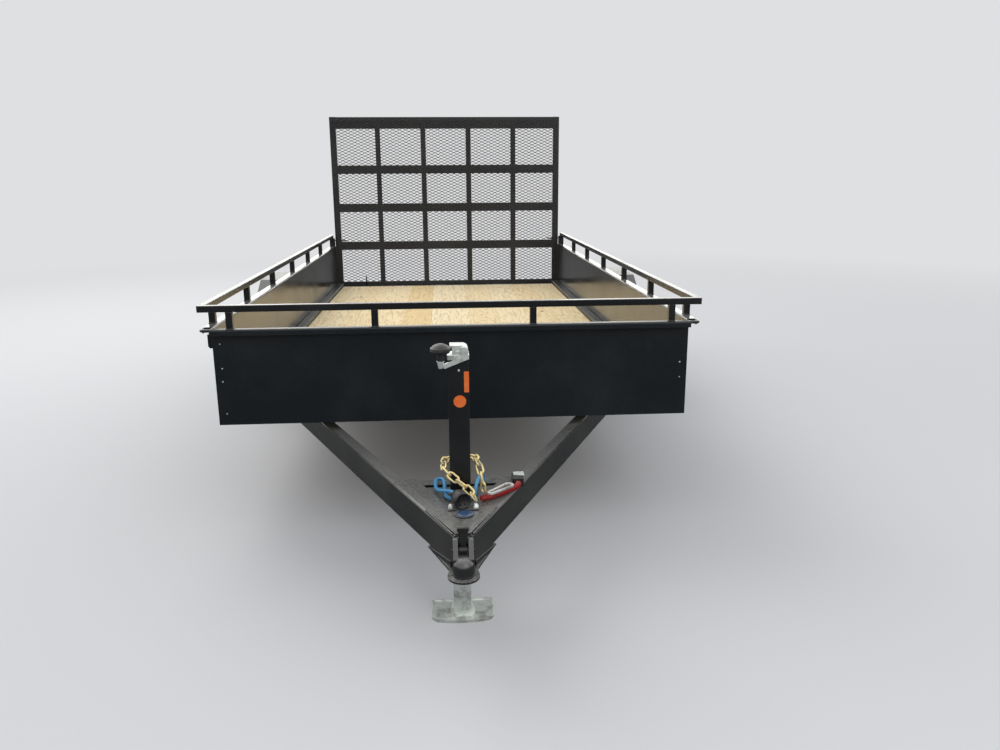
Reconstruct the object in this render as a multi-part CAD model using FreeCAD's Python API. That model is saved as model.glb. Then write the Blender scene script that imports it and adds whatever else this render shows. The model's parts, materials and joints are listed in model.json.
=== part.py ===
import FreeCAD, Part
import math
import os
from FreeCAD import Rotation, Vector

# Single-axle utility trailer with high sheet sides and a rear ramp gate, in millimetres.
# +Y points to the rear, +X to the right of someone who stands in front, +Z up, ground at 0.

# Bed
bed_width = 1829.0
bed_length = 3658.0
board_thickness = 38.0
board_width = 184.0
board_gap = 0.5
boards_before_narrow_count = 4
board_edge_radius = 2.0

# Frame under the bed
rail_width = 50.8
rail_height = 76.0
rail_wall = 4.8
rail_radius = 5.0
rail_stand = 23.0
cross_leg = 50.0
cross_wall = 5.0
cross_radius = 4.0
cross_count = 6
first_cross_setback = 120.0
last_cross_setback = 560.0
sill_depth = 50.8
sill_height = 88.0

# Sheet sides
sheet = 3.0
side_height = 380.0
front_flange_reach = 36.0
side_flange_reach = 44.0
corner_notch = 28.0
lip_height = 24.0
bend_radius = 5.0

# Top rails and their posts
top_rail_width = 25.4
top_rail_height = 25.4
top_rail_wall = 3.0
top_rail_radius = 3.0
post_size = 25.4
post_height = 65.0
front_rail_inset = 3.0
side_rail_inset = 3.3
first_post_setback = 125.0
side_post_pitch = 575.0
last_post_clearance = 150.0
front_post_places = (300.0, 838.0)
corner_post_width = 38.0
corner_post_depth = 50.0
keeper_thickness = 6.0
keeper_reach = 44.0
keeper_height = 50.0

# Tongue
tongue_tip_half_width = 26.99
tongue_height = 102.0
tongue_flange = 42.0
tongue_web = 5.0
tongue_radius = 4.0
tongue_half_width = 486.0
tongue_tip_reach = 985.0
tongue_tail_reach = 700.0
tongue_centre_gap = 1.5
gusset_thickness = 5.0
gusset_inset = 6.0
gusset_length = 183.0
cross_tie_setback = 395.0
cross_tie_depth = 41.0
jack_plate_thickness = 8.0
jack_plate_front_setback = 190.0
jack_plate_rear_setback = 373.0
tongue_strip_width = 35.0

# Coupler for a 50.8 mm ball
ball_diameter = 50.8
socket_clearance = 0.5
socket_wall = 5.5
ball_overhang = 33.0
socket_depth = 30.0
ring_radius = 45.0
ring_thickness = 6.0
housing_width = 57.0
housing_wall = 13.5
latch_pivot_radius = 5.0
latch_pivot_clearance = 0.3
wing_length = 155.0
wing_tip_overlap = 12.0
wing_rear_overlap = 0.5
wing_thickness = 8.0
lever_thickness = 7.0
lever_grip_half = 16.5
lever_neck_half = 6.5
lever_foot_half = 10.0

# Jack
jack_setback = 297.0
jack_tube_size = 63.5
jack_tube_wall = 3.5
jack_tube_radius = 5.0
jack_tube_inset = 12.0
jack_tube_stand = 438.0
jack_collar_height = 13.0
leg_clearance = 0.3
leg_overlap = 260.0
leg_wall = 4.0
foot_width = 200.0
foot_depth = 140.0
foot_thickness = 6.0
foot_rim = 10.0
foot_gusset = (12.0, 40.0)
head_height = 41.5
head_lip = 7.0
head_half_depth = 24.0
crank_thickness = 8.0
crank_clearance = 3.0
crank_bar_width = 19.5
crank_arm_width = 12.0
crank_drop = 28.0
crank_cone_height = 22.0
crank_cone_radii = (6.5, 11.5)
knob_radius = 31.0
knob_height = 52.0
knob_stem_radius = 10.5
knob_offset = 52.0

# Running gear
axle_setback = 2166.0
tyre_radius = 343.0
tyre_width = 205.0
bead_gap = 0.3
tyre_sides = 60
tyre_gap = 25.0
rim_radius = 190.5
rim_width = 152.0
rim_lip = 16.0
rim_wall = 5.0
window_count = 8
stud_circle = 114.3
stud_count = 5
nut_radius = 11.0
nut_length = 20.0
hub_radius = 70.0
hub_pilot_radius = 40.5
cap_radius = 32.0
cap_reach = 62.0
axle_radius = 30.15
spindle_radius = 18.0
spring_half_span = 320.0
spring_rise = 58.0
hanger_drop = 74.15
spring_width = 44.5
leaf_thickness = 7.0
leaf_half_spans = (320.0, 270.0, 190.0, 110.0)
eye_radius = 19.0
eye_bolt_radius = 7.0
hanger_wall = 5.0
hanger_gap = 2.0
clamp_bolt_radius = 6.35
clamp_plate_thickness = 9.0
clamp_plate_length = 120.0

# Fenders
fender_overhang = 10.5
fender_sheet = 2.5
fender_headroom = 80.0
fender_skirt = 55.0
fender_half_top = 205.0
fender_half_shoulder = 335.0
fender_shoulder_drop = 75.0
fender_half_foot = 462.0
fender_foot_rise = 25.0

# Ramp gate
gate_height = 1346.0
gate_drop = 13.0
gate_gap = 12.0
gate_depth = 38.0
gate_side_width = 50.0
gate_top_height = 90.0
gate_bottom_height = 46.0
gate_cross_height = 66.0
gate_cross_shares = (0.242, 0.493, 0.741)
gate_upright_width = 40.0
gate_upright_places = (-540.0, -180.0, 180.0, 540.0)
gate_bar_depth = 30.0
gate_wall = 4.0
mesh_thickness = 3.0
mesh_margin = 16.0
mesh_border = 7.0
mesh_columns = 9
mesh_half_rows = 28
mesh_strand = 18.0
hinge_drop = 32.0
hinge_offset = 41.0
hinge_inset = 304.5
hinge_half_span = 90.0
hinge_pin_radius = 8.0
hinge_pin_clearance = 0.3
hinge_sleeve_radius = 12.5
hinge_lug_thickness = 8.0
latch_pin_radius = 6.35
latch_pin_clearance = 2.0
latch_barrel_radius = 11.0
latch_barrel_length = 70.0
latch_grip_reach = 34.0
latch_drop = 20.0

# Lamps and small fittings
lamp_box_width = 178.0
lamp_box_height = 70.0
lamp_box_depth = 45.0
lamp_lens_width = 152.0
lamp_lens_height = 50.0
lamp_lens_depth = 9.0
marker_length = 58.0
marker_height = 30.0
marker_depth = 11.0
marker_setback = 38.0
marker_rise = 13.0
eye_rod_radius = 6.35
eye_bend_radius = 12.0
eye_front_setback = 15.0
plate_hole_spacing = 178.0
plate_hole_radius = 3.5
plate_bracket_height = 78.0
plate_bracket_inset = 394.5

# Safety chain, draped round the jack's tube
link_length = 45.0
link_width = 27.0
link_wire = 6.4
link_slack = 1.2
chain_turn = 45.0
chain_bolt_radius = 5.0

# Plug in its holder, lead and breakaway gear, their places measured from the jack's axis
plug_radius = 25.5
plug_height = 446.0
plug_place = (6.0, -145.0)
plug_length = 66.0
plug_turn = -21.0
plug_boot_radius = 8.0
holder_width = 92.0
holder_depth = 30.0
holder_thickness = 4.0
lid_radius = 30.0
lead_radius = 6.0
coil_radius = 10.0
switch_size = (36.0, 55.0, 26.0)
switch_place = (186.0, 76.0)
hook_wire = 3.0
hook_radii = (10.0, 17.0)
hook_gap = 0.3
cord_arc_share = 0.45

# Places worked out from the sizes above
tongue_angle = math.degrees(math.atan((tongue_half_width - tongue_tip_half_width) / tongue_tip_reach))
wing_rear_reach = tongue_tip_reach - wing_length
gusset_rear_reach = tongue_tip_reach - gusset_length
cross_tie_front_reach = tongue_tip_reach - cross_tie_setback
jack_plate_front_reach = tongue_tip_reach - jack_plate_front_setback
jack_plate_rear_reach = tongue_tip_reach - jack_plate_rear_setback
jack_reach = tongue_tip_reach - jack_setback
ball_reach = tongue_tip_reach + ball_overhang
nose_reach = ball_reach + ring_radius
spring_top = tyre_radius - axle_radius
rail_bottom = spring_top + spring_rise + hanger_drop
deck_height = rail_bottom + rail_height - rail_stand
gate_front = gate_gap + bed_length
gate_back = gate_front + mesh_thickness + gate_depth
hinge_reach = bed_length + hinge_offset
latch_reach = gate_front + mesh_thickness + gate_depth / 2
tail_reach = max(gate_back, latch_reach + latch_grip_reach)
bed_front = (nose_reach - tail_reach) / 2
bed_rear = bed_front + bed_length
half_bed = bed_width / 2
board_bottom = deck_height - board_thickness
cross_bottom = board_bottom - cross_leg
tongue_top = cross_bottom
tongue_bottom = tongue_top - tongue_height
side_top = rail_bottom + side_height
rail_inner = half_bed - sheet - rail_width
top_rail_bottom = side_top + post_height
side_flange_edge = half_bed - sheet + side_flange_reach
front_flange_edge = bed_front + sheet - front_flange_reach
top_rail_outer = side_flange_edge - side_rail_inset
front_rail_face = front_flange_edge + front_rail_inset
post_centre = top_rail_outer - top_rail_width / 2
side_post_count = 1 + int((bed_length - first_post_setback - last_post_clearance) / side_post_pitch)
eye_height = side_top - eye_rod_radius
eye_outer = side_flange_edge - eye_rod_radius
ball_y = bed_front - ball_reach
ball_height = tongue_bottom - wing_thickness + socket_depth
jack_y = bed_front - jack_reach
jack_tube_bottom = tongue_bottom + jack_tube_inset
jack_tube_top = tongue_top + jack_tube_stand
jack_head_top = jack_tube_top + head_height
leg_top = jack_tube_bottom + leg_overlap
axle_y = bed_front + axle_setback
hinge_y = bed_front + hinge_reach
hinge_height = deck_height - hinge_drop
hinge_places = (hinge_inset - half_bed, half_bed - hinge_inset)
gate_width = bed_width
gate_bottom = deck_height - gate_drop
gate_top = gate_bottom + gate_height
latch_height = top_rail_bottom - latch_drop
plate_bracket_place = plate_bracket_inset - half_bed
marker_bottom = rail_bottom + marker_rise
hub_face = half_bed + tyre_gap + tyre_width / 2
spring_centre = rail_inner + hanger_wall + hanger_gap + spring_width / 2
fender_outer = half_bed + tyre_gap + tyre_width + fender_overhang
fender_top = 2 * tyre_radius + fender_headroom
fender_shoulder = (fender_half_shoulder, fender_top - fender_shoulder_drop)
fender_foot = (fender_half_foot, rail_bottom + fender_foot_rise)
slope = math.tan(math.radians(tongue_angle))


def place(plane, u, v, w):
    """Point at (u, v) of a plane that lies at w along its own normal."""
    if plane == "XY":
        return Vector(u, v, w)
    if plane == "XZ":
        return Vector(u, w, v)
    return Vector(w, u, v)


def outline(corners, plane="XY", offset=0.0):
    """Closed wire through (u, v) corners; a third number rounds that corner."""
    joints = []
    count = len(corners)
    for index, corner in enumerate(corners):
        radius = corner[2] if len(corner) > 2 else 0.0
        here = Vector(corner[0], corner[1], 0)
        if radius == 0.0:
            joints.append((here, None, here))
            continue
        before = corners[index - 1]
        after = corners[(index + 1) % count]
        back = (Vector(before[0], before[1], 0) - here).normalize()
        ahead = (Vector(after[0], after[1], 0) - here).normalize()
        half_turn = back.getAngle(ahead) / 2
        reach = radius / math.tan(half_turn)
        middle = (back + ahead).normalize()
        crown = here + middle * (radius / math.sin(half_turn) - radius)
        joints.append((here + back * reach, crown, here + ahead * reach))
    edges = []
    for index, (start, crown, end) in enumerate(joints):
        if crown is not None:
            points = [place(plane, p.x, p.y, offset) for p in (start, crown, end)]
            edges.append(Part.Arc(*points).toShape())
        following = joints[(index + 1) % count][0]
        if (following - end).Length > 1e-6:
            first = place(plane, end.x, end.y, offset)
            second = place(plane, following.x, following.y, offset)
            edges.append(Part.LineSegment(first, second).toShape())
    return Part.Wire(edges)


def prism(corners, plane, start, end):
    """Solid with the outline in the plane, from start to end along its normal."""
    face = Part.Face(outline(corners, plane, start))
    return face.extrude(place(plane, 0, 0, end - start))


def rectangle(low_u, high_u, low_v, high_v, radius=0.0):
    return [(low_u, low_v, radius), (high_u, low_v, radius),
            (high_u, high_v, radius), (low_u, high_v, radius)]


def tube(low_u, high_u, low_v, high_v, plane, start, end, wall, radius):
    """Rectangular tube along a plane's normal."""
    body = prism(rectangle(low_u, high_u, low_v, high_v, radius), plane, start, end)
    inner_radius = max(radius - wall, 0.5)
    inside = rectangle(low_u + wall, high_u - wall, low_v + wall, high_v - wall, inner_radius)
    return body.cut(prism(inside, plane, start - 1, end + 1))


def block(low_x, high_x, low_y, high_y, low_z, high_z):
    size = (high_x - low_x, high_y - low_y, high_z - low_z)
    return Part.makeBox(*size, Vector(low_x, low_y, low_z))


def rod(radius, start, end):
    """Round bar between two points."""
    run = end - start
    return Part.makeCylinder(radius, run.Length, start, run)


def revolve(corners, centre, axis):
    """Solid of revolution: corners are (distance along the axis, radius)."""
    face = Part.Face(outline([(u, v) + tuple(rest) for u, v, *rest in corners], "XY", 0.0))
    body = face.revolve(Vector(0, 0, 0), Vector(1, 0, 0), 360)
    turn = Rotation(Vector(1, 0, 0), axis)
    body.Placement = FreeCAD.Placement(centre, turn)
    return Part.makeCompound([body]).Solids[0]


def bent_sheet(path, thickness, radius, plane, start, end):
    """Sheet bent to one side: path runs along its outer face."""
    outer, inner = [], []
    count = len(path)
    for index, (u, v) in enumerate(path):
        here = Vector(u, v, 0)
        normals = []
        for near, far in ((index - 1, index), (index, index + 1)):
            if near >= 0 and far < count:
                run = Vector(*path[far], 0) - Vector(*path[near], 0)
                normals.append(Vector(run.y, -run.x, 0).normalize())
        mean = normals[0] if len(normals) == 1 else (normals[0] + normals[1]).normalize()
        shift = mean * (thickness / mean.dot(normals[0]))
        bent = len(normals) == 2
        outer.append((here.x, here.y, radius + thickness if bent else 0.0))
        inner.append((here.x + shift.x, here.y + shift.y, radius if bent else 0.0))
    return prism(outer + inner[::-1], plane, start, end)


def fuse(first, *others):
    return first.fuse(list(others)).removeSplitter().Solids[0]


def mirrored(shape):
    return shape.mirror(Vector(0, 0, 0), Vector(1, 0, 0))


def pair(shape):
    """The shape on the right and its mirror image on the left."""
    return [shape, mirrored(shape)]


def save(name, solids):
    Part.makeCompound(solids).exportStep(f"parts/{name}.step")


def tongue_edge(y):
    """Half width over the tongue's outer faces at a place along the trailer."""
    return tongue_half_width + slope * (y - bed_front)


# Frame under the bed

def side_rails():
    low, high = rail_inner, half_bed - sheet
    rail = tube(low, high, rail_bottom, rail_bottom + rail_height, "XZ",
                bed_front + sheet, bed_rear, rail_wall, rail_radius)
    return pair(rail)


def front_rail():
    low = bed_front + sheet
    return [tube(low, low + rail_width, rail_bottom, rail_bottom + rail_height, "YZ",
                 -rail_inner, rail_inner, rail_wall, rail_radius)]


def rear_sill():
    low = bed_rear - sill_depth
    return [tube(low, bed_rear, deck_height - sill_height, deck_height, "YZ",
                 -rail_inner, rail_inner, rail_wall, rail_radius)]


def crossmembers():
    """Angles under the boards, upright leg to the front."""
    first = bed_front + first_cross_setback
    pitch = (bed_length - first_cross_setback - last_cross_setback) / (cross_count - 1)
    angles = []
    for index in range(cross_count):
        y = first + pitch * index
        path = [(y, cross_bottom), (y, board_bottom), (y + cross_leg, board_bottom)]
        angles.append(bent_sheet(path, cross_wall, cross_radius, "YZ", -rail_inner, rail_inner))
    return angles


def deck_boards():
    """Full boards and one ripped to fill the width that is left."""
    full_boards = int((2 * rail_inner - board_gap) / (board_width + board_gap))
    ripped = 2 * rail_inner - full_boards * (board_width + board_gap) - 2 * board_gap
    widths = [board_width] * full_boards
    widths.insert(boards_before_narrow_count, ripped)
    x = -rail_inner + board_gap
    low = bed_front + sheet + rail_width + board_gap
    high = bed_rear - sill_depth - board_gap
    boards = []
    for width in widths:
        section = rectangle(x, x + width, board_bottom, deck_height, board_edge_radius)
        boards.append(prism(section, "XZ", low, high))
        x += width + board_gap
    return boards


# Sheet sides, rails and posts

def sheet_path(outer_face, direction, reach):
    """Web, outward flange and down-turned lip, along the sheet's convex face."""
    web = outer_face - direction * sheet
    lip = web + direction * reach
    return [(web, rail_bottom), (web, side_top), (lip, side_top), (lip, side_top - lip_height)]


def side_panels():
    """The flange starts behind the web's front edge, which leaves the corner open."""
    path = sheet_path(half_bed, 1, side_flange_reach)
    panel = bent_sheet(path, sheet, bend_radius, "XZ", bed_front + sheet, bed_rear)
    notch = block(half_bed, side_flange_edge + 1, bed_front, bed_front + corner_notch,
                  side_top - lip_height - 1, side_top + 1)
    return pair(panel.cut(notch))


def front_panel():
    path = sheet_path(bed_front, -1, front_flange_reach)
    web = bent_sheet(path[::-1], sheet, bend_radius, "YZ", -half_bed, half_bed)
    return [web]


def side_top_rails():
    low, high = top_rail_outer - top_rail_width, top_rail_outer
    rail = tube(low, high, top_rail_bottom, top_rail_bottom + top_rail_height, "XZ",
                front_rail_face + top_rail_width, bed_rear, top_rail_wall, top_rail_radius)
    return pair(rail)


def front_top_rail():
    return [tube(front_rail_face, front_rail_face + top_rail_width, top_rail_bottom,
                 top_rail_bottom + top_rail_height, "YZ", -top_rail_outer, top_rail_outer,
                 top_rail_wall, top_rail_radius)]


def post(x, y):
    half = post_size / 2
    return prism(rectangle(x - half, x + half, y - half, y + half, 2.0), "XY",
                 side_top, top_rail_bottom)


def rail_posts():
    posts = []
    for x in front_post_places:
        posts += pair(post(x, front_rail_face + top_rail_width / 2))
    first = bed_front + first_post_setback
    for index in range(side_post_count):
        posts += pair(post(post_centre, first + side_post_pitch * index))
    return posts


def rear_posts():
    """Uprights at the bed's rear corners, each with a keeper for the gate's latch pin."""
    outer = half_bed + corner_post_width
    low = bed_rear - corner_post_depth
    upright = tube(half_bed, outer, low, bed_rear, "XY", rail_bottom, side_top - sheet - bend_radius,
                   3.0, 3.0)
    stub = tube(half_bed, outer, low, bed_rear, "XY", side_top, top_rail_bottom, 3.0, 3.0)
    middle = latch_height
    slot = latch_pin_radius + latch_pin_clearance
    keeper_low = middle - keeper_height / 2
    keeper = prism([(bed_rear, keeper_low, 0.0), (bed_rear + keeper_reach, keeper_low, 8.0),
                    (bed_rear + keeper_reach, keeper_low + keeper_height, 8.0),
                    (bed_rear, keeper_low + keeper_height, 0.0)],
                   "YZ", outer - keeper_thickness, outer)
    pin_y = bed_front + latch_reach
    notch = block(outer - keeper_thickness - 1, outer + 1, pin_y, bed_rear + keeper_reach + 1,
                  middle - slot, middle + slot)
    seat = rod(slot, Vector(outer - keeper_thickness - 1, pin_y, middle),
               Vector(outer + 1, pin_y, middle))
    keeper = keeper.cut(notch).cut(seat)
    return pair(upright) + pair(fuse(stub, keeper))


def tie_eyes():
    """Rod across each front corner, from the front flange's end to the side flange's lip."""
    y = bed_front - eye_front_setback
    edges = run_and_arcs([Vector(half_bed, y, eye_height), Vector(eye_outer, y, eye_height),
                          Vector(eye_outer, bed_front + corner_notch, eye_height)],
                         [eye_bend_radius])
    return pair(sweep(edges, eye_rod_radius))


def run_and_arcs(points, radii):
    """Straight runs through the points, joined by tangent arcs of the radii."""
    edges = []
    start = points[0]
    for index, radius in enumerate(radii):
        before, here, after = points[index:index + 3]
        back, ahead = (before - here).normalize(), (after - here).normalize()
        half_turn = back.getAngle(ahead) / 2
        reach = radius / math.tan(half_turn)
        middle = (back + ahead).normalize()
        crown = here + middle * (radius / math.sin(half_turn) - radius)
        first, last = here + back * reach, here + ahead * reach
        edges.append(Part.LineSegment(start, first).toShape())
        edges.append(Part.Arc(first, crown, last).toShape())
        start = last
    edges.append(Part.LineSegment(start, points[-1]).toShape())
    return edges


def cord_edges(points):
    """A cord's line: each arc as large as the two runs beside it leave room for."""
    radii = []
    for before, here, after in zip(points, points[1:], points[2:]):
        shorter = min((here - before).Length, (after - here).Length)
        half_turn = (before - here).getAngle(after - here) / 2
        radii.append(cord_arc_share * shorter * math.tan(half_turn))
    return run_and_arcs(points, radii), radii


def sweep(edges, radius):
    """Round bar along a wire of lines and tangent arcs."""
    path = Part.Wire(edges)
    start = path.OrderedVertexes[0].Point
    along = path.OrderedEdges[0].tangentAt(path.OrderedEdges[0].FirstParameter)
    ring = Part.Wire([Part.makeCircle(radius, start, along)])
    return path.makePipeShell([ring], True, True)


def cord(name, points, radius):
    """Round cord along a route that is measured from the jack's axis."""
    route = [Vector(x, jack_y + y, z) for x, y, z in points]
    edges, radii = cord_edges(route)
    length = sum(edge.Length for edge in edges)
    print(f"{name}: {length:.0f} mm long, bends of {min(radii):.0f} mm and more")
    return sweep(edges, radius)


# Tongue

def tongue_channel():
    """Right-hand channel: web outboard, flanges turned in, cut square at the tip."""
    top, bottom = tongue_top, tongue_bottom
    length = 2.5 * tongue_tip_reach
    path = [(-tongue_flange, bottom), (0, bottom), (0, top), (-tongue_flange, top)]
    profile = bent_sheet(path[::-1], tongue_web, tongue_radius, "XZ", -length / 2, length / 2)
    profile.rotate(Vector(0, 0, 0), Vector(0, 0, 1), -tongue_angle)
    profile.translate(Vector(tongue_half_width, bed_front, 0))
    window = block(tongue_centre_gap, half_bed, bed_front - tongue_tip_reach,
                   bed_front + tongue_tail_reach, bottom - 1, top + 1)
    return profile.common(window)


def tongue_channels():
    return pair(tongue_channel())


def between_channels(front, back, inset, low, high):
    """Plate or bar that fills the tongue's width, less an inset, between two places."""
    corners = [(-tongue_edge(front) + inset, front), (tongue_edge(front) - inset, front),
               (tongue_edge(back) - inset, back), (-tongue_edge(back) + inset, back)]
    return prism(corners, "XY", low, high)


def tongue_gusset():
    front = bed_front - tongue_tip_reach
    back = bed_front - gusset_rear_reach
    return [between_channels(front, back, gusset_inset, tongue_top, tongue_top + gusset_thickness)]


def tongue_cross():
    """Cross tie and the jack's plate under two strips beside the channels' flanges."""
    lean = 1 / math.cos(math.radians(tongue_angle))
    web = (tongue_web + tongue_radius) * lean
    low, high = tongue_bottom + tongue_web, tongue_top - tongue_web
    front = bed_front - cross_tie_front_reach
    back = front + cross_tie_depth
    tie = between_channels(front, back, web, low, high)
    plate_front = bed_front - jack_plate_front_reach
    plate = between_channels(plate_front, bed_front - jack_plate_rear_reach,
                             web, high - jack_plate_thickness, high)
    outer = (tongue_flange + 1.0) * lean
    inner = outer + tongue_strip_width * lean
    strip_corners = [(tongue_edge(plate_front) - inner, plate_front),
                     (tongue_edge(plate_front) - outer, plate_front),
                     (tongue_edge(back) - outer, back), (tongue_edge(back) - inner, back)]
    strip = prism(strip_corners, "XY", high, tongue_top)
    half = jack_tube_size / 2
    hole = prism(rectangle(-half, half, jack_y - half, jack_y + half, jack_tube_radius), "XY",
                 low - 1, high + 1)
    return [fuse(tie, plate.cut(hole), strip, mirrored(strip))]


def coupler():
    """Ball socket, ring, latch housing and the wings under the channels."""
    socket = ball_diameter / 2 + socket_clearance
    outer = socket + socket_wall
    centre = Vector(0, ball_y, ball_height)
    floor = ball_height - socket_depth
    dome = Part.makeSphere(outer, centre)
    neck = Part.makeCylinder(outer, socket_depth, Vector(0, ball_y, floor))
    ring = Part.makeCylinder(ring_radius, ring_thickness, Vector(0, ball_y, floor))
    tip = bed_front - tongue_tip_reach
    half = housing_width / 2
    housing = prism([(tip, floor), (tip, tongue_top - 5, 4.0), (tip - 14, tongue_top - 5, 6.0),
                     (tip - 40, ball_height + 24, 6.0), (tip - 40, floor)], "YZ", -half, half)
    slot = prism([(tip - 60, ball_height + 30), (tip - 6, ball_height + 30), (tip - 6, tongue_top + 5),
                  (tip - 60, tongue_top + 5)], "YZ", -half + housing_wall, half - housing_wall)
    back = bed_front - wing_rear_reach
    edge_tip = tongue_edge(tip) + wing_tip_overlap
    edge_back = tongue_edge(back) + wing_rear_overlap
    right_wing = [(ring_radius, ball_y), (edge_tip, tip), (edge_back, back),
                  (edge_back - tongue_flange, back)]
    left_wing = [(-u, v) for u, v in right_wing]
    wing_corners = right_wing + [(0, tip + ring_radius)] + left_wing[::-1]
    wings = prism(wing_corners, "XY", tongue_bottom - wing_thickness, tongue_bottom)
    body = fuse(dome, neck, ring, housing.cut(slot), wings)
    pivot, reach = latch_pivot(), Vector(half + 1, 0, 0)
    body = body.cut(rod(latch_pivot_radius + latch_pivot_clearance, pivot - reach, pivot + reach))
    bore = Part.makeSphere(socket, centre)
    mouth = Part.makeCylinder(socket, socket_depth + 2, Vector(0, ball_y, floor - 2))
    below = block(-half_bed, half_bed, ball_y - ring_radius - 1, bed_front, 0, floor)
    return [body.cut(bore).cut(mouth).cut(below)]


def latch_pivot():
    return Vector(0, bed_front - tongue_tip_reach - 22, ball_height + 46)


def coupler_latch():
    """Lever, wide at its grip and at its foot, on a pin through the housing's walls."""
    pivot = latch_pivot()
    back = bed_front - tongue_tip_reach - 8
    foot, grip = pivot.z - 8, tongue_top + 19
    corners = [(-lever_foot_half, foot), (lever_foot_half, foot), (lever_neck_half, tongue_top - 13),
               (lever_neck_half, grip), (lever_grip_half, grip), (lever_grip_half, grip + 8),
               (-lever_grip_half, grip + 8), (-lever_grip_half, grip), (-lever_neck_half, grip),
               (-lever_neck_half, tongue_top - 13)]
    lever = prism(corners, "XZ", back - lever_thickness, back)
    boss_reach = Vector(lever_foot_half, 0, 0)
    boss = rod(9.0, pivot - boss_reach, pivot + boss_reach)
    reach = Vector(housing_width / 2 + 4, 0, 0)
    pin = rod(latch_pivot_radius, pivot - reach, pivot + reach)
    return [fuse(lever, boss, pin)]


# Jack

def jack_tube():
    half = jack_tube_size / 2
    return [tube(-half, half, jack_y - half, jack_y + half, "XY", jack_tube_bottom, jack_tube_top,
                 jack_tube_wall, jack_tube_radius)]


def jack_head():
    """Collar on the tube and a cast head whose flat top reaches past its left side."""
    half = jack_tube_size / 2
    collar = prism(rectangle(-half - 1, half + 1, jack_y - half - 1, jack_y + half + 1, 5.0), "XY",
                   jack_tube_top, jack_tube_top + jack_collar_height)
    base, top = jack_tube_top + jack_collar_height, jack_head_top
    front, back = jack_y - head_half_depth, jack_y + head_half_depth
    left = -half + 2 * head_lip
    head = prism([(left, base), (half - 1, base), (half - 1, top, 18.0), (left - head_lip, top, 3.0),
                  (left - head_lip, top - 6), (left, top - 6)], "XZ", front, back)
    boss = rod(9.5, Vector(0, front - 5, base + 3), Vector(0, front, base + 3))
    return [fuse(collar, head, boss)]


def crank_back():
    """The arm's back face, just clear of the tube's front."""
    return jack_y - jack_tube_size / 2 - crank_clearance


def crank_arm():
    """Flat crank folded down beside the head, with the knob's cone at its end."""
    half = jack_tube_size / 2
    back = crank_back()
    front = back - crank_thickness
    right = half - 2
    left = right - crank_bar_width
    elbow = jack_tube_top + 3
    end = elbow - crank_drop
    arm = prism([(left, jack_head_top - 1, 4.0), (right, jack_head_top - 1, 12.0), (right, elbow, 9.0),
                 (-knob_offset + 10, end, 3.0), (-knob_offset + 6, end + crank_arm_width, 3.0),
                 (left, elbow + crank_arm_width - 4, 3.0)], "XZ", front, back)
    middle = back - crank_thickness / 2
    low_radius, high_radius = crank_cone_radii
    cone = revolve([(0, 0), (0, low_radius), (crank_cone_height, high_radius), (crank_cone_height, 0)],
                   Vector(-knob_offset, middle, end + 2), Vector(0, 0, 1))
    pivot_x, pivot_z = (left + right) / 2, jack_head_top - 10
    pivot = rod(6.0, Vector(pivot_x, front, pivot_z), Vector(pivot_x, jack_y - head_half_depth, pivot_z))
    return [fuse(arm, cone, pivot)]


def crank_knob():
    """Mushroom knob on the crank's cone."""
    base = jack_tube_top + 3 - crank_drop + 2 + crank_cone_height
    top = knob_height
    corners = [(0, 0), (0, knob_stem_radius), (0.38 * top, knob_stem_radius), (0.48 * top, knob_radius - 4),
               (0.6 * top, knob_radius), (0.75 * top, knob_radius - 1), (0.92 * top, 0.62 * knob_radius),
               (top, 0.3 * knob_radius), (top, 0)]
    return [revolve(corners, Vector(-knob_offset, crank_back() - crank_thickness / 2, base), Vector(0, 0, 1))]


def jack_leg():
    half = jack_tube_size / 2 - jack_tube_wall - leg_clearance
    return [tube(-half, half, jack_y - half, jack_y + half, "XY", foot_thickness, leg_top,
                 leg_wall, 3.0)]


def jack_foot():
    """Pressed pad with a low rim, square at the back and bowed at the front."""
    pad = prism(foot_plan(0), "XY", 0, foot_thickness)
    rim = prism(foot_plan(0), "XY", 0, foot_rim).cut(prism(foot_plan(4.0), "XY", -1, foot_rim + 1))
    leg_half = jack_tube_size / 2 - jack_tube_wall - leg_clearance
    wide, tall = foot_gusset
    gusset = prism([(leg_half, foot_thickness), (leg_half + wide, foot_thickness),
                    (leg_half, foot_thickness + tall)], "XZ", jack_y - 20, jack_y + 4)
    return [fuse(pad, rim, gusset, mirrored(gusset))]


def foot_plan(inset):
    """Outline of the pad, moved in by an inset."""
    half = foot_width / 2 - inset
    back = jack_y + foot_depth / 2 - inset
    front = jack_y - foot_depth / 2 + inset
    return [(-half, back, 8.0 - inset / 2), (-half, front + 16, 34.0 - inset), (0, front, 330.0),
            (half, front + 16, 34.0 - inset), (half, back, 8.0 - inset / 2)]


# Running gear

def leaf_band(half_span, radius, top):
    """One leaf: an arc band under a circle whose centre is above the axle."""
    centre = top + radius
    reach = math.asin(half_span / radius)
    points = []
    for r, angles in ((radius, (-reach, 0, reach)), (radius + leaf_thickness, (reach, 0, -reach))):
        points.append([Vector(0, axle_y + r * math.sin(a), centre - r * math.cos(a)) for a in angles])
    edges = [Part.Arc(*points[0]).toShape(), Part.LineSegment(points[0][2], points[1][0]).toShape(),
             Part.Arc(*points[1]).toShape(), Part.LineSegment(points[1][2], points[0][0]).toShape()]
    band = Part.Face(Part.Wire(edges)).extrude(Vector(spring_width, 0, 0))
    band.translate(Vector(spring_centre - spring_width / 2, 0, 0))
    return band


def spring_eye(side):
    """Centre of the spring's front (-1) or rear (1) eye."""
    return Vector(spring_centre, axle_y + side * spring_half_span, spring_top + spring_rise)


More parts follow.
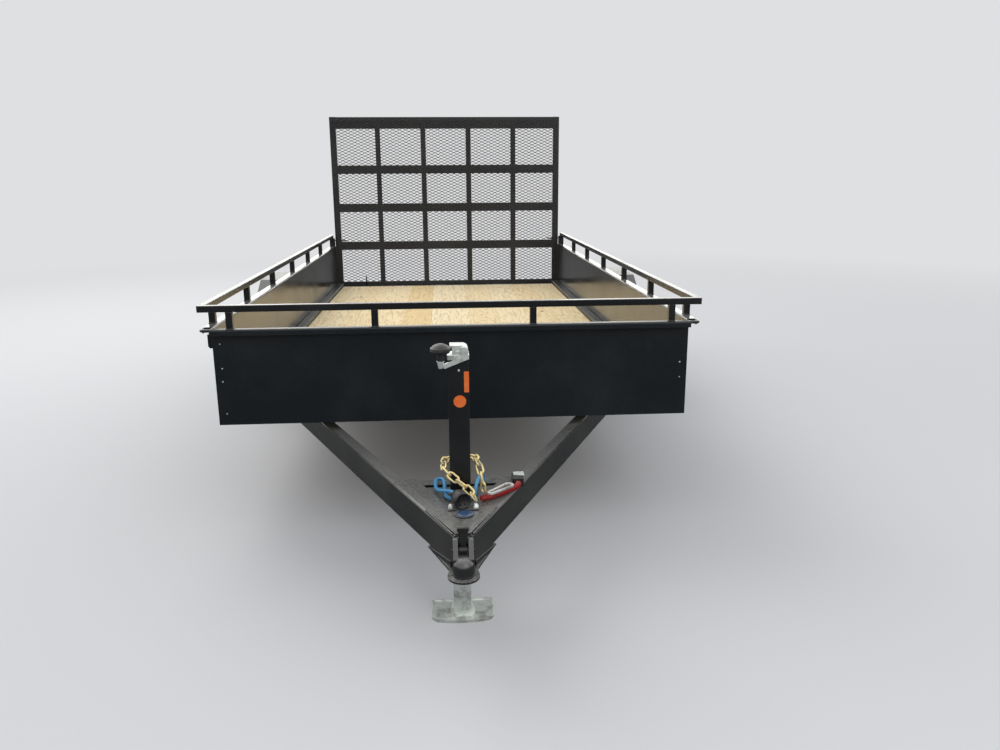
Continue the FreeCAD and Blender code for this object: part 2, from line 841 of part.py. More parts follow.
def leaf_springs():
    radius = (spring_half_span ** 2 + spring_rise ** 2) / (2 * spring_rise)
    leaves = []
    for index, half_span in enumerate(leaf_half_spans):
        leaves.append(leaf_band(half_span, radius + index * leaf_thickness,
                                spring_top - index * leaf_thickness))
    body = leaves[0]
    half = Vector(spring_width / 2, 0, 0)
    eyes = [rod(eye_radius, spring_eye(side) - half, spring_eye(side) + half) for side in (-1, 1)]
    body = fuse(body, *leaves[1:], *eyes)
    for side in (-1, 1):
        wide = half * 1.2
        body = body.cut(rod(eye_bolt_radius + 0.3, spring_eye(side) - wide, spring_eye(side) + wide))
    return pair(body)


def hanger(side, drop_top, drop_bottom):
    """Two cheeks either side of a spring eye, joined by their bolt and top plate."""
    eye = spring_eye(side)
    inner = spring_width / 2 + hanger_gap
    outer = inner + hanger_wall
    cheeks = []
    for low, high in ((-outer, -inner), (inner, outer)):
        shape = [(eye.y - 24, drop_top), (eye.y + 24, drop_top), (eye.y + 16, drop_bottom, 12.0),
                 (eye.y - 16, drop_bottom, 12.0)]
        cheeks.append(prism(shape, "YZ", eye.x + low, eye.x + high))
    top = block(eye.x - outer, eye.x + outer, eye.y - 24, eye.y + 24, drop_top - hanger_wall, drop_top)
    reach = Vector(outer + 7, 0, 0)
    bolt = rod(eye_bolt_radius, eye - reach, eye + reach)
    return fuse(top, bolt, *cheeks)


def spring_hangers():
    drop_bottom = spring_eye(1).z - 18
    hangers = []
    for side in (-1, 1):
        hangers += pair(hanger(side, rail_bottom, drop_bottom))
    return hangers


def axle_beam():
    reach = hub_face - 85
    tube_part = rod(axle_radius, Vector(-reach, axle_y, tyre_radius), Vector(reach, axle_y, tyre_radius))
    spindle = rod(spindle_radius, Vector(-hub_face - 30, axle_y, tyre_radius),
                  Vector(hub_face + 30, axle_y, tyre_radius))
    return [fuse(tube_part, spindle)]


def axle_clamps():
    """Two U-bolts over the axle and a plate under each spring."""
    pack = leaf_thickness * len(leaf_half_spans)
    plate_top = spring_top - pack
    x_reach = spring_width / 2 + clamp_bolt_radius
    y_reach = axle_radius + clamp_bolt_radius
    plate = block(spring_centre - x_reach - 12, spring_centre + x_reach + 12,
                  axle_y - clamp_plate_length / 2, axle_y + clamp_plate_length / 2,
                  plate_top - clamp_plate_thickness, plate_top)
    parts = [plate]
    for x in (spring_centre - x_reach, spring_centre + x_reach):
        low = plate_top - clamp_plate_thickness - 14
        near, far = axle_y - y_reach, axle_y + y_reach
        crown = Vector(x, axle_y, tyre_radius + y_reach)
        edges = [Part.LineSegment(Vector(x, near, low), Vector(x, near, tyre_radius)).toShape(),
                 Part.Arc(Vector(x, near, tyre_radius), crown, Vector(x, far, tyre_radius)).toShape(),
                 Part.LineSegment(Vector(x, far, tyre_radius), Vector(x, far, low)).toShape()]
        parts.append(sweep(edges, clamp_bolt_radius))
    return pair(fuse(*parts))


def tyre():
    """Right-hand tyre in flat steps about the axle line, its beads between the rim's flanges."""
    half, bead = tyre_width / 2, rim_width / 2 - rim_wall - bead_gap
    seat, lip = rim_radius + bead_gap, rim_radius + rim_lip
    middle = (lip + tyre_radius) / 2 - 12
    # distance along the axle line, radius
    outside = [(bead, seat), (bead, lip + 3), (half, middle), (half - 9, tyre_radius - 11),
               (half - 35, tyre_radius)]
    inside = [(bead - 13, seat), (half - 14, middle), (half - 46, tyre_radius - 14)]
    left_outside = [(-u, v) for u, v in outside[::-1]]
    left_inside = [(-u, v) for u, v in inside]
    corners = outside + left_outside + left_inside + inside[::-1]
    rings = []
    for u, v in corners:
        turns = [2 * math.pi * step / tyre_sides for step in range(tyre_sides)]
        rings.append([Vector(hub_face + u, axle_y + v * math.cos(turn), tyre_radius + v * math.sin(turn))
                      for turn in turns])
    faces = []
    for ring, other in zip(rings, rings[1:] + rings[:1]):
        for step in range(tyre_sides):
            after = (step + 1) % tyre_sides
            faces.append(Part.Face(Part.makePolygon([ring[step], ring[after], other[after], other[step],
                                                     ring[step]])))
    shell = Part.makeCompound(faces)
    shell.sewShape()
    return Part.Solid(shell.Shells[0])


def rim():
    """Barrel with its drop centre, and a disc with windows, bolt holes and pilot bore."""
    half, lip = rim_width / 2, rim_radius + rim_lip
    bore = rim_radius - rim_wall
    drop = rim_radius - 22
    # distance along the axle line, radius
    tyre_side = [(rim_wall - half, lip), (rim_wall - half, rim_radius), (28 - half, rim_radius),
                 (42 - half, drop), (half - 62, drop), (half - 44, rim_radius),
                 (half - rim_wall, rim_radius), (half - rim_wall, lip)]
    axle_side = [(half, lip), (half, bore), (half - 41, bore), (half - 60, drop - rim_wall),
                 (40 - half, drop - rim_wall), (26 - half, bore), (-half, bore), (-half, lip)]
    centre = Vector(hub_face, axle_y, tyre_radius)
    axis = Vector(1, 0, 0)
    barrel = revolve(tyre_side + axle_side, centre, axis)
    seat = drop - rim_wall + 1
    disc_corners = [(0, hub_pilot_radius), (0, 78), (24, 100), (24, 148), (8, seat), (2, seat), (18, 146),
                    (18, 103), (-5, 82), (-5, hub_pilot_radius)]
    disc = revolve(disc_corners, centre, axis)
    for index in range(window_count):
        angle = 360 * (index + 0.5) / window_count
        window = prism([(-14, 106), (14, 106), (20, 142), (-20, 142)], "YZ", 10, 30)
        window.rotate(Vector(0, 0, 0), axis, angle)
        window.translate(centre)
        disc = disc.cut(window)
    for index in range(stud_count):
        disc = disc.cut(stud(index, centre, 7.5, -20, 20))
    return fuse(barrel, disc)


def stud(index, centre, radius, low, high):
    """Round bar on the stud circle, from low to high along the axle line."""
    angle = 2 * math.pi * index / stud_count
    spot = centre + Vector(0, math.sin(angle), math.cos(angle)) * (stud_circle / 2)
    return rod(radius, spot + Vector(low, 0, 0), spot + Vector(high, 0, 0))


def hub():
    """Hub barrel, flange, grease cap, studs and nuts."""
    centre = Vector(hub_face, axle_y, tyre_radius)
    face = -5.0
    bore = spindle_radius + 0.5
    corners = [(-60, bore), (-60, 34), (face - 10, 36), (face - 10, hub_radius), (face, hub_radius),
               (face, hub_pilot_radius - 0.6), (20, hub_pilot_radius - 2), (22, cap_radius),
               (cap_reach - 8, cap_radius - 2), (cap_reach, 0.7 * cap_radius), (cap_reach, 0), (35, 0),
               (35, bore)]
    body = revolve(corners, centre, Vector(1, 0, 0))
    studs = [stud(index, centre, 6.35, face - 4, nut_length + 8) for index in range(stud_count)]
    nuts = []
    for index in range(stud_count):
        angle = 2 * math.pi * index / stud_count
        out = Vector(0, math.sin(angle), math.cos(angle)) * (stud_circle / 2)
        corners = [Vector(0, math.cos(math.pi * k / 3), math.sin(math.pi * k / 3)) * nut_radius
                   for k in range(7)]
        hexagon = Part.makePolygon([centre + out + Vector(0.2, 0, 0) + corner for corner in corners])
        nuts.append(Part.Face(hexagon).extrude(Vector(nut_length, 0, 0)))
    return fuse(body, *studs, *nuts)


def fender_points(inset):
    """Half outline of the arch, front to rear, moved in by an inset."""
    top = (fender_half_top, fender_top)
    half = [top, fender_shoulder, fender_foot]
    points = []
    for index, (u, v) in enumerate(half):
        near = half[index - 1] if index else (-fender_half_top, fender_top)
        far = half[index + 1] if index < 2 else None
        first = Vector(u - near[0], v - near[1], 0).normalize()
        second = Vector(far[0] - u, far[1] - v, 0).normalize() if far else first
        normal_a, normal_b = Vector(-first.y, first.x, 0), Vector(-second.y, second.x, 0)
        mean = (normal_a + normal_b).normalize()
        shift = mean * (inset / mean.dot(normal_a))
        points.append((u - shift.x, v - shift.y))
    return points


def arch(inset, low_x, high_x, radius, floor):
    half = fender_points(inset)
    foot_u = half[2][0] + (half[2][1] - floor) * (half[2][0] - half[1][0]) / (half[1][1] - half[2][1])
    right = [(half[0][0], half[0][1], radius), (half[1][0], half[1][1], radius), (foot_u, floor)]
    left = [(-u, v, *rest) for u, v, *rest in right]
    corners = [(axle_y + u, v, *rest) for u, v, *rest in right + left[::-1]]
    return prism(corners, "YZ", low_x, high_x)


def fenders():
    """Five-sided steel arch with a skirt that follows its outer edge."""
    floor = fender_foot[1]
    body = arch(0, half_bed, fender_outer, 18.0, floor)
    inside = arch(fender_sheet, half_bed - 1, fender_outer - fender_sheet, 16.0, floor - 1)
    opening = arch(fender_skirt, half_bed - 1, fender_outer + 1, 4.0, floor - 1)
    return pair(body.cut(inside).cut(opening))


# Ramp gate, upright

def gate_angle(plane, corner, front_leg, back_leg, low, high):
    """Angle bar with its front leg flat against the mesh; corner is where the legs meet."""
    front = bed_front + gate_front + mesh_thickness
    tip = (corner + front_leg, front)
    path = [tip, (corner, front), (corner, front + back_leg)]
    if plane == "YZ":
        path = [(v, u) for u, v in path]
    flip = (front_leg > 0) != (plane == "YZ")
    return bent_sheet(path if flip else path[::-1], gate_wall, 2.0, plane, low, high)


def gate_frame():
    """Outer angles of the gate, their back legs around the rim."""
    half = gate_width / 2
    inner = half - gate_side_width
    side = gate_angle("XY", half, -gate_side_width, gate_depth, gate_bottom, gate_top)
    side = side.cut(rod(latch_pin_radius + hinge_pin_clearance, latch_point(inner), latch_point(half + 1)))
    top = gate_angle("YZ", gate_top, -gate_top_height, gate_depth, -inner, inner)
    bottom = gate_angle("YZ", gate_bottom, gate_bottom_height, gate_depth, -inner, inner)
    return [fuse(side, mirrored(side), top, bottom)]


def gate_bars():
    """Three cross bars and four uprights inside the frame."""
    inner = gate_width / 2 - gate_side_width
    bars = []
    clear_low = gate_bottom + gate_bottom_height
    clear_high = gate_top - gate_top_height
    for share in gate_cross_shares:
        low = clear_low + share * (clear_high - clear_low) - gate_cross_height / 2
        bars.append(gate_angle("YZ", low, gate_cross_height, gate_bar_depth, -inner, inner))
    for x in gate_upright_places:
        low = x - gate_upright_width / 2
        bars.append(gate_angle("XY", low, gate_upright_width, gate_bar_depth,
                               clear_low, clear_high))
    return [fuse(*bars)]


def gate_mesh():
    """Expanded metal over the gate's front, at a coarser pitch than the real sheet."""
    y = bed_front + gate_front
    half = gate_width / 2 - mesh_margin
    low_z, high_z = gate_bottom + mesh_margin, gate_top - mesh_margin
    edge_u, edge_low, edge_high = half - mesh_border, low_z + mesh_border, high_z - mesh_border
    pitch_u = 2 * edge_u / mesh_columns
    pitch_v = (edge_high - edge_low) / mesh_half_rows
    hole_u = pitch_u / 2 - mesh_strand
    hole_v = pitch_v - 2 * mesh_strand * pitch_v / pitch_u
    holes = []
    for row in range(mesh_half_rows + 1):
        z = edge_low + row * pitch_v
        columns = mesh_columns + row % 2
        for column in range(columns):
            x = (column - (columns - 1) / 2) * pitch_u
            left, right = max(x - hole_u, -edge_u), min(x + hole_u, edge_u)
            low, high = max(z - hole_v, edge_low), min(z + hole_v, edge_high)
            corners = [Vector(left, y, z), Vector(x, y, low), Vector(right, y, z), Vector(x, y, high)]
            holes.append(Part.makePolygon(corners + corners[:1]))
    border = Part.makePolygon([Vector(u, y, z) for u, z in ((-half, low_z), (half, low_z), (half, high_z),
                                                            (-half, high_z), (-half, low_z))])
    face = Part.makeFace([border] + holes, "Part::FaceMakerBullseye")
    return [face.extrude(Vector(0, mesh_thickness, 0))]


def gate_sleeves():
    """Hinge sleeves under the gate's bottom tube."""
    sleeves = []
    for x in hinge_places:
        reach = hinge_half_span - hinge_lug_thickness - 5
        centre = Vector(x, hinge_y, hinge_height)
        span = Vector(reach, 0, 0)
        sleeve = rod(hinge_sleeve_radius, centre - span, centre + span)
        bore = rod(hinge_pin_radius + hinge_pin_clearance, centre - span * 2, centre + span * 2)
        top = gate_bottom
        saddle = block(x - reach, x + reach, hinge_y - 8, hinge_y + 8, hinge_height + 6, top)
        sleeves.append(fuse(sleeve, saddle).cut(bore))
    return sleeves


def hinge_lugs():
    """Lugs on the sill's rear face with the hinge pins through them."""
    hinges = []
    for x in hinge_places:
        lugs = []
        for edge in (x - hinge_half_span, x + hinge_half_span - hinge_lug_thickness):
            profile = [(bed_rear, hinge_height - 36), (hinge_y, hinge_height - 14, 8.0),
                       (hinge_y + 13, hinge_height - 8, 6.0), (hinge_y + 13, hinge_height + 12, 9.0),
                       (bed_rear, hinge_height + 12)]
            lugs.append(prism(profile, "YZ", edge, edge + hinge_lug_thickness))
        centre = Vector(x, hinge_y, hinge_height)
        span = Vector(hinge_half_span + 8, 0, 0)
        pin = rod(hinge_pin_radius, centre - span, centre + span)
        hinges.append(fuse(pin, *lugs))
    return hinges


def latch_point(x):
    return Vector(x, bed_front + latch_reach, latch_height)


def gate_latches():
    """Barrel and spring pin on each side of the gate, the pin's end in the keeper's notch."""
    seat = gate_width / 2 - gate_wall
    inner = seat - latch_barrel_length
    end = half_bed + corner_post_width + 6
    barrel = rod(latch_barrel_radius, latch_point(inner), latch_point(seat))
    pin = rod(latch_pin_radius, latch_point(inner - 20), latch_point(end))
    grip = rod(4.0, latch_point(inner - 14), latch_point(inner - 14) + Vector(0, latch_grip_reach, 0))
    return pair(fuse(barrel, pin, grip))


# Lamps and small fittings

def oval(centre_u, centre_v, width, height):
    return rectangle(centre_u - width / 2, centre_u + width / 2, centre_v - height / 2,
                     centre_v + height / 2, height / 2 - 0.5)


def lamp_boxes():
    """Steel boxes outboard of the rear corners that hold the tail lamps."""
    low_x = half_bed + corner_post_width
    back = bed_rear - 6
    low_z = rail_bottom + 8
    box = prism(rectangle(low_x, low_x + lamp_box_width, low_z, low_z + lamp_box_height, 6.0), "XZ",
                back - lamp_box_depth, back)
    hollow = rectangle(low_x + 3, low_x + lamp_box_width - 3, low_z + 3, low_z + lamp_box_height - 3, 3.0)
    inside = prism(hollow, "XZ", back - lamp_box_depth - 1, back - 3)
    centre_x = low_x + lamp_box_width / 2
    hole = prism(oval(centre_x, low_z + lamp_box_height / 2, lamp_lens_width, lamp_lens_height), "XZ",
                 back - 10, back + 1)
    return pair(box.cut(inside).cut(hole))


def tail_lamps():
    low_x = half_bed + corner_post_width
    centre_x = low_x + lamp_box_width / 2
    centre_z = rail_bottom + 8 + lamp_box_height / 2
    back = bed_rear - 6
    lens = prism(oval(centre_x, centre_z, lamp_lens_width - 0.6, lamp_lens_height - 0.6), "XZ",
                 back - 12, back + lamp_lens_depth - 4)
    return pair(lens)


def side_markers():
    low_y = bed_front + marker_setback
    lens = prism(rectangle(low_y, low_y + marker_length, marker_bottom, marker_bottom + marker_height, 8.0),
                 "YZ", half_bed, half_bed + marker_depth)
    return pair(lens)


def licence_bracket():
    """Bent plate under the sill with two holes for a licence plate."""
    top = deck_height - sill_height
    y = bed_rear - 20
    half = plate_hole_spacing / 2 + 12
    centre = plate_bracket_place
    path = [(y, top - plate_bracket_height), (y, top), (y - 24, top)]
    plate = bent_sheet(path[::-1], 2.5, 2.0, "YZ", centre - half, centre + half)
    for side in (-1, 1):
        x = centre + side * plate_hole_spacing / 2
        z = top - plate_bracket_height / 2
        plate = plate.cut(rod(plate_hole_radius, Vector(x, y - 20, z), Vector(x, y + 20, z)))
    return [plate]


# Safety chain

def chain_route():
    """From the plug holder's bolt round the tube's back and down to the jack's plate."""
    wrap = jack_tube_size / 2 + link_width / 2 + 6
    tall = tongue_top + 104
    places = [(41, -112, tongue_top + 26), (36, -80, tongue_top + 33), (10, -60, tongue_top + 52),
              (-24, -56, tongue_top + 78), (-wrap, -26, tall - 8), (-wrap, wrap, tall),
              (wrap, wrap, tall + 4), (wrap + 2, -8, tall + 5), (wrap + 10, -44, tall - 6),
              (wrap + 18, -56, tongue_top + 52), (wrap + 18, -34, tongue_top + 4)]
    return [Vector(x, jack_y + y, z) for x, y, z in places]


def chain_joints():
    """Points one link apart along the route's smooth line."""
    step = link_length - 2 * link_wire - link_slack
    edges = cord_edges(chain_route())[0]
    line = Part.Wire(edges).discretize(Distance=1.0)
    joints = [line[0]]
    for point in line:
        if (point - joints[-1]).Length >= step:
            joints.append(point)
    print(f"safety chain: {len(joints) - 1} links")
    return joints


def chain_link():
    """One link along X in the XY plane, its wire six-sided."""
    long_half, wide_half = (link_length - link_wire) / 2, (link_width - link_wire) / 2
    cut = 0.6 * wide_half
    corners = [(long_half, -wide_half + cut), (long_half, wide_half - cut), (long_half - cut, wide_half),
               (-long_half + cut, wide_half), (-long_half, wide_half - cut), (-long_half, -wide_half + cut),
               (-long_half + cut, -wide_half), (long_half - cut, -wide_half)]
    middle = Vector(long_half, 0, 0)
    points = [middle] + [Vector(u, v, 0) for u, v in corners[1:] + corners[:1]] + [middle]
    spine = Part.makePolygon(points)
    reach = link_wire / 2
    turns = [math.pi * k / 3 for k in range(7)]
    section = Part.makePolygon([middle + Vector(math.cos(a), 0, math.sin(a)) * reach for a in turns])
    return spine.makePipeShell([section], True, False, 1)


def safety_chain():
    """Links between the joints, each turned a quarter from the one before."""
    joints = chain_joints()
    links = []
    for index, (near, far) in enumerate(zip(joints, joints[1:])):
        link = chain_link()
        along = (far - near).normalize()
        upright = Rotation(along, Vector(0, 1, 0), Vector(0, 0, 1), "XZY")
        roll = Rotation(Vector(1, 0, 0), chain_turn + 90 * (index % 2))
        link.Placement = FreeCAD.Placement((near + far) / 2, upright.multiply(roll))
        links.append(link)
    return links


# Plug, lead and breakaway gear

def plug_axis():
    turn = math.radians(plug_turn)
    return Vector(math.sin(turn), math.cos(turn), 0)


def plug_face():
    return Vector(plug_place[0], jack_y + plug_place[1], plug_height)


def plug_holder():
    """Bent plate on the gusset with a saddle under the plug, two bolts and a flipped lid."""
    x, y = plug_place[0], jack_y + plug_place[1]
    base = tongue_top + gusset_thickness
    half = holder_width / 2
    plate = block(x - half, x + half, y + 2, y + holder_depth, base, base + holder_thickness)
    saddle = block(x - 14, x + 14, y + 8, y + holder_depth - 4, base, plug_height)
    seat_reach = plug_face() + plug_axis() * 60
    saddle = saddle.cut(rod(plug_radius + 0.3, plug_face() - plug_axis() * 20, seat_reach))
    bolts = []
    for side in (-1, 1):
        spot = Vector(x + side * (half - 9), y + holder_depth / 2, base)
        bolts.append(rod(chain_bolt_radius, spot, spot + Vector(0, 0, holder_thickness + 9)))
    lid_spot = Vector(x, y - lid_radius + 6, base)
    lid = rod(lid_radius, lid_spot, lid_spot + Vector(0, 0, holder_thickness))
    return [fuse(plate, saddle, lid, *bolts)]


def trailer_plug():
    """Round plug: face, grip and boot."""
    grip = 0.82 * plug_radius
    corners = [(0, 0), (0, plug_radius), (36, plug_radius), (38, grip), (52, grip - 2),
               (plug_length, plug_boot_radius), (plug_length, 0)]
    return [revolve(corners, plug_face(), plug_axis())]


def lead_route():
    """From the cross tie round the jack's tube, out to the left and back into the plug."""
    end = plug_face() + plug_axis() * plug_length
    beyond = end + plug_axis() * 26
    low = tongue_top
    return [(78, 117, low - tongue_web), (78, 117, low + 18), (68, 98, low + 26), (56, 68, low + 16),
            (48, 28, low + 5), (46, -14, low + 4), (28, -50, low + 4), (-10, -55, low + 5),
            (-42, -40, low + 6), (-50, -2, low + 6), (-49, 48, low + 5), (-50, 88, low + 8),
            (-56, 108, low + 11), (-76, 108, low + 11), (-79, 76, low + 9), (-76, 28, low + 10),
            (-66, -16, low + 20), (beyond.x, beyond.y - jack_y, plug_height),
            (end.x, end.y - jack_y, plug_height)]


def lead():
    return [cord("lead", lead_route(), lead_radius)]


def coil_route():
    """From the switch forward over the right-hand strip to the chain's bolt."""
    low = tongue_top + coil_radius + 1
    x, front = switch_place[0], switch_place[1] - switch_size[1] / 2
    return [(x, front, low), (x, front - 22, low), (150, -4, low), (106, -47, low), (62, -69, low)]


def breakaway_coil():
    return [cord("breakaway coil", coil_route(), coil_radius)]


def breakaway_hook():
    """Snap hook that lies on the coil: a flat loop with a small and a large end."""
    low = tongue_top + 1 + 2 * coil_radius + hook_gap
    near, far = Vector(92, jack_y - 56, 0), Vector(150, jack_y, 0)
    outer = hook_plan(near, far, 0)
    inner = hook_plan(near, far, 2 * hook_wire)
    loop = prism(outer, "XY", low, low + 2 * hook_wire)
    return [loop.cut(prism(inner, "XY", low - 1, low + 2 * hook_wire + 1))]


def hook_plan(near, far, inset):
    """Tapered outline round the hook's axis, moved in by an inset."""
    along = (far - near).normalize()
    across = Vector(-along.y, along.x, 0)
    small, large = (radius - inset for radius in hook_radii)
    start, end = near - along * small, far + along * large
    corners = [(start - across * small, 0.9 * small), (end - across * large, 0.9 * large),
               (end + across * large, 0.9 * large), (start + across * small, 0.9 * small)]
    return [(corner.x, corner.y, radius) for corner, radius in corners]


def breakaway_switch():
    x, y = switch_place
    wide, long, tall = switch_size
    plan = rectangle(x - wide / 2, x + wide / 2, jack_y + y - long / 2, jack_y + y + long / 2, 4.0)
    return [prism(plan, "XY", tongue_top, tongue_top + tall)]


def build():
    nodes = {
        "side_rails": side_rails(), "front_rail": front_rail(), "rear_sill": rear_sill(),
        "crossmembers": crossmembers(), "deck_boards": deck_boards(),
        "side_panels": side_panels(), "front_panel": front_panel(), "side_top_rails": side_top_rails(),
        "front_top_rail": front_top_rail(), "rail_posts": rail_posts(), "rear_posts": rear_posts(),
        "tie_eyes": tie_eyes(), "tongue_channels": tongue_channels(), "tongue_gusset": tongue_gusset(),
        "tongue_cross": tongue_cross(), "coupler": coupler(), "coupler_latch": coupler_latch(),
        "jack_tube": jack_tube(), "jack_head": jack_head(), "crank_arm": crank_arm(),
        "crank_knob": crank_knob(), "jack_leg": jack_leg(), "jack_foot": jack_foot(),
        "leaf_springs": leaf_springs(), "spring_hangers": spring_hangers(), "axle_beam": axle_beam(),
        "axle_clamps": axle_clamps(), "fenders": fenders(), "gate_frame": gate_frame(),
        "gate_bars": gate_bars(), "gate_mesh": gate_mesh(), "gate_sleeves": gate_sleeves(),
        "hinge_lugs": hinge_lugs(), "gate_latches": gate_latches(), "lamp_boxes": lamp_boxes(),
        "tail_lamps": tail_lamps(), "side_markers": side_markers(), "licence_bracket": licence_bracket(),
        "safety_chain": safety_chain(), "plug_holder": plug_holder(), "trailer_plug": trailer_plug(),
        "lead": lead(), "breakaway_coil": breakaway_coil(), "breakaway_hook": breakaway_hook(),
        "breakaway_switch": breakaway_switch(),
    }
    for part, make in (("tyre", tyre), ("rim", rim), ("hub", hub)):
        right = make()
        nodes[f"{part}_right"] = [right]
        nodes[f"{part}_left"] = [mirrored(right)]
    for name, solids in nodes.items():
        save(name, solids)
    return nodes


os.makedirs("parts", exist_ok=True)
build()
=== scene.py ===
import json
import math
import random

import bmesh
import bpy
from mathutils import Matrix, Vector


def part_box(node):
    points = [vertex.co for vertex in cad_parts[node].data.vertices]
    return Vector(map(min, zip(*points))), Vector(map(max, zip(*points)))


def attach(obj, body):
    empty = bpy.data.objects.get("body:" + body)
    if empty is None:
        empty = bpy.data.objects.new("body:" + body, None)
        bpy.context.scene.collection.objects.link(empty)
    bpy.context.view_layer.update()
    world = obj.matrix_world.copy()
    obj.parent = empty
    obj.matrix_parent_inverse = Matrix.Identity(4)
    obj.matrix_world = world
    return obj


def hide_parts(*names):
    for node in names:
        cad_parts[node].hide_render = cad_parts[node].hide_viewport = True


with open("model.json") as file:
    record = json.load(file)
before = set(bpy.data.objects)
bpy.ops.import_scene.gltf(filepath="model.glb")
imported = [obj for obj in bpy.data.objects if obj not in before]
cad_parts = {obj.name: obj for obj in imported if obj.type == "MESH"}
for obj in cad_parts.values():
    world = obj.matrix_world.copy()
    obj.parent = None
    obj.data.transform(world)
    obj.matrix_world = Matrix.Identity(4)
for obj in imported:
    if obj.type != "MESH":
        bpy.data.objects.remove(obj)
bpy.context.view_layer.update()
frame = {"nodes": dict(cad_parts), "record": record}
nodes_by_name = frame["nodes"]
dice = random.Random(7)

# Camera: metres ahead of the front panel's face, beside the middle and above the floor; degrees
camera_back = 3.0456
camera_side = -0.0354
camera_height = 1.3771
camera_yaw = 3.92
camera_pitch = 13.93
camera_roll = -0.35
photo_width = 1000
focal_pixels = 805.0
sensor_width = 36.0

# Light: what surfaces, reflections and the camera get from the sky and the floor
even_sky = (0.74, 0.76, 0.8, 1.0)
dim_sky = (0.22, 0.23, 0.25, 1.0)
high_sky = (1.6, 1.6, 1.6, 1.0)
bright_sky = (3.0, 2.95, 2.8, 1.0)
backdrop = (0.74, 0.745, 0.755, 1.0)
floor_to_camera = (0.7, 0.7, 0.7, 1.0)
floor_to_things = (0.2, 0.2, 0.2, 1.0)
black = (0.0, 0.0, 0.0, 1.0)
floor_size = 60.0
floor_fade = (3.0, 11.0)

# Sky in reflections: where along a direction's y or z each change starts and ends
behind_stretch = (-0.1, 0.75)
low_stretch = (0.12, 0.5)
overhead_stretch = (0.05, 0.3)
glow_left_high_up = 0.28

# Ripples in the powder coats: their width and their height
fine_peel = (0.0035, 0.00012)
panel_peel = (0.006, 0.0006)
side_peel = (0.006, 0.0002)
spring_peel = (0.002, 0.00015)
wheel_peel = (0.003, 0.0001)

# Front panel's sheet, and the deck's boards with how dark each one is, from left to right
sheet_thickness = 0.003
board_width = 0.184
board_gap = 0.0005
boards_before_narrow_count = 4
board_shades = (0.42, 0.6, 0.5, 0.95, 0.25, 0.35, 0.62, 0.45, 0.7, 0.52)

# Cords: points in metres, y measured from the jack's axis
lead_thickness = 0.012
lead_points = [(0.078, 0.117, 0.405), (0.078, 0.117, 0.428), (0.068, 0.098, 0.436),
               (0.056, 0.068, 0.426), (0.048, 0.028, 0.415), (0.046, -0.014, 0.414),
               (0.028, -0.050, 0.414), (-0.010, -0.055, 0.415), (-0.042, -0.040, 0.416),
               (-0.050, -0.002, 0.416), (-0.049, 0.048, 0.415), (-0.050, 0.088, 0.418),
               (-0.056, 0.108, 0.421), (-0.076, 0.108, 0.421), (-0.079, 0.076, 0.419),
               (-0.076, 0.028, 0.420), (-0.066, -0.016, 0.430), (-0.027, -0.0591, 0.446),
               (-0.01765, -0.0834, 0.446)]
coil_thickness = 0.004
coil_radius = 0.010
coil_pitch = 0.0062
coil_steps = 12
coil_points = [(0.186, 0.0485, 0.421), (0.186, 0.0265, 0.421), (0.150, -0.004, 0.421),
               (0.106, -0.047, 0.421), (0.062, -0.069, 0.421)]

# Safety chain: the line that its links follow, y measured from the jack's axis
link_length = 0.045
link_width = 0.027
link_wire = 0.0069
link_slack = 0.0002
link_turn = 45.0
link_steps = 24
link_sides = 10
chain_points = [(0.041, -0.112, 0.436), (0.036, -0.080, 0.443), (0.010, -0.060, 0.462),
                (-0.024, -0.056, 0.488), (-0.05125, -0.026, 0.506), (-0.05125, 0.05125, 0.514),
                (0.05125, 0.05125, 0.518), (0.05325, -0.008, 0.519), (0.06125, -0.044, 0.508),
                (0.06925, -0.056, 0.462), (0.06925, -0.034, 0.414)]
arc_share = 0.45
arc_steps = 12
joint_search_step = 0.0005

# Plug, measured from the jack's axis, with outlines as (place along its own axis, radius)
plug_place = (0.006, -0.145, 0.446)
plug_turn = -21.0
plug_length = 0.066
plug_rim = [(0.006, 0), (0.006, 0.0205), (0.0005, 0.0215), (0, 0.0235), (0.0015, 0.0252),
            (0.02, 0.0254), (0.034, 0.0254), (0.037, 0.0235), (0.038, 0.0205)]
plug_boot = [(0.054, 0.0175), (0.0575, 0.0125), (0.0615, 0.0095), (plug_length, 0.008), (plug_length, 0)]
rib_count = 4
rib_start = 0.039
rib_pitch = 0.0035
rib_taper = 0.0004
rib_outline = [(0, 0.0202), (0.0012, 0.0186), (0.0024, 0.0202)]
pin_count = 6
pin_circle_radius = 0.012
pin_outline = [(0.0055, 0.0024), (0.002, 0.0022), (0.001, 0.0014), (0.001, 0)]

# Plug holder's lid and nuts, measured from the jack's axis and the holder's underside
lid_place = (0.011, -0.170, 0.0042)
lid_outline = [(0, 0), (0, 0.024), (0.0012, 0.0235), (0.002, 0.021), (0.0028, 0.011), (0.003, 0)]
nut_sides = (-0.031, 0.043)
nut_back = -0.130
nut_foot = 0.0045
nut_outline = [(0, 0.0085), (0.0055, 0.0085), (0.0062, 0.0078), (0.009, 0.0072), (0.0125, 0.0048),
               (0.0138, 0)]

# Stickers, rivets and a bolt, as (x, z) on an upright face; the strip as left, right, low, high
skin_gap = 0.0004
sticker_thickness = 0.0003
strip_place = (0.0165, 0.0312, 0.748, 0.812)
disc_place = (0.003, 0.720)
disc_radius = 0.019
disc_steps = 40
rivet_places = [(-0.887, 0.764), (-0.886, 0.669), (-0.888, 0.617), (-0.883, 0.489), (0.886, 0.657),
                (0.887, 0.596)]
rivet_outline = [(0, 0.0032), (0.001, 0.0029), (0.0016, 0.002), (0.0019, 0)]
bolt_place = (0.0013, 0.816)
bolt_radius = 0.0038
bolt_height = 0.0025
bolt_chamfer_start = 0.75
bolt_chamfer_share = 0.86

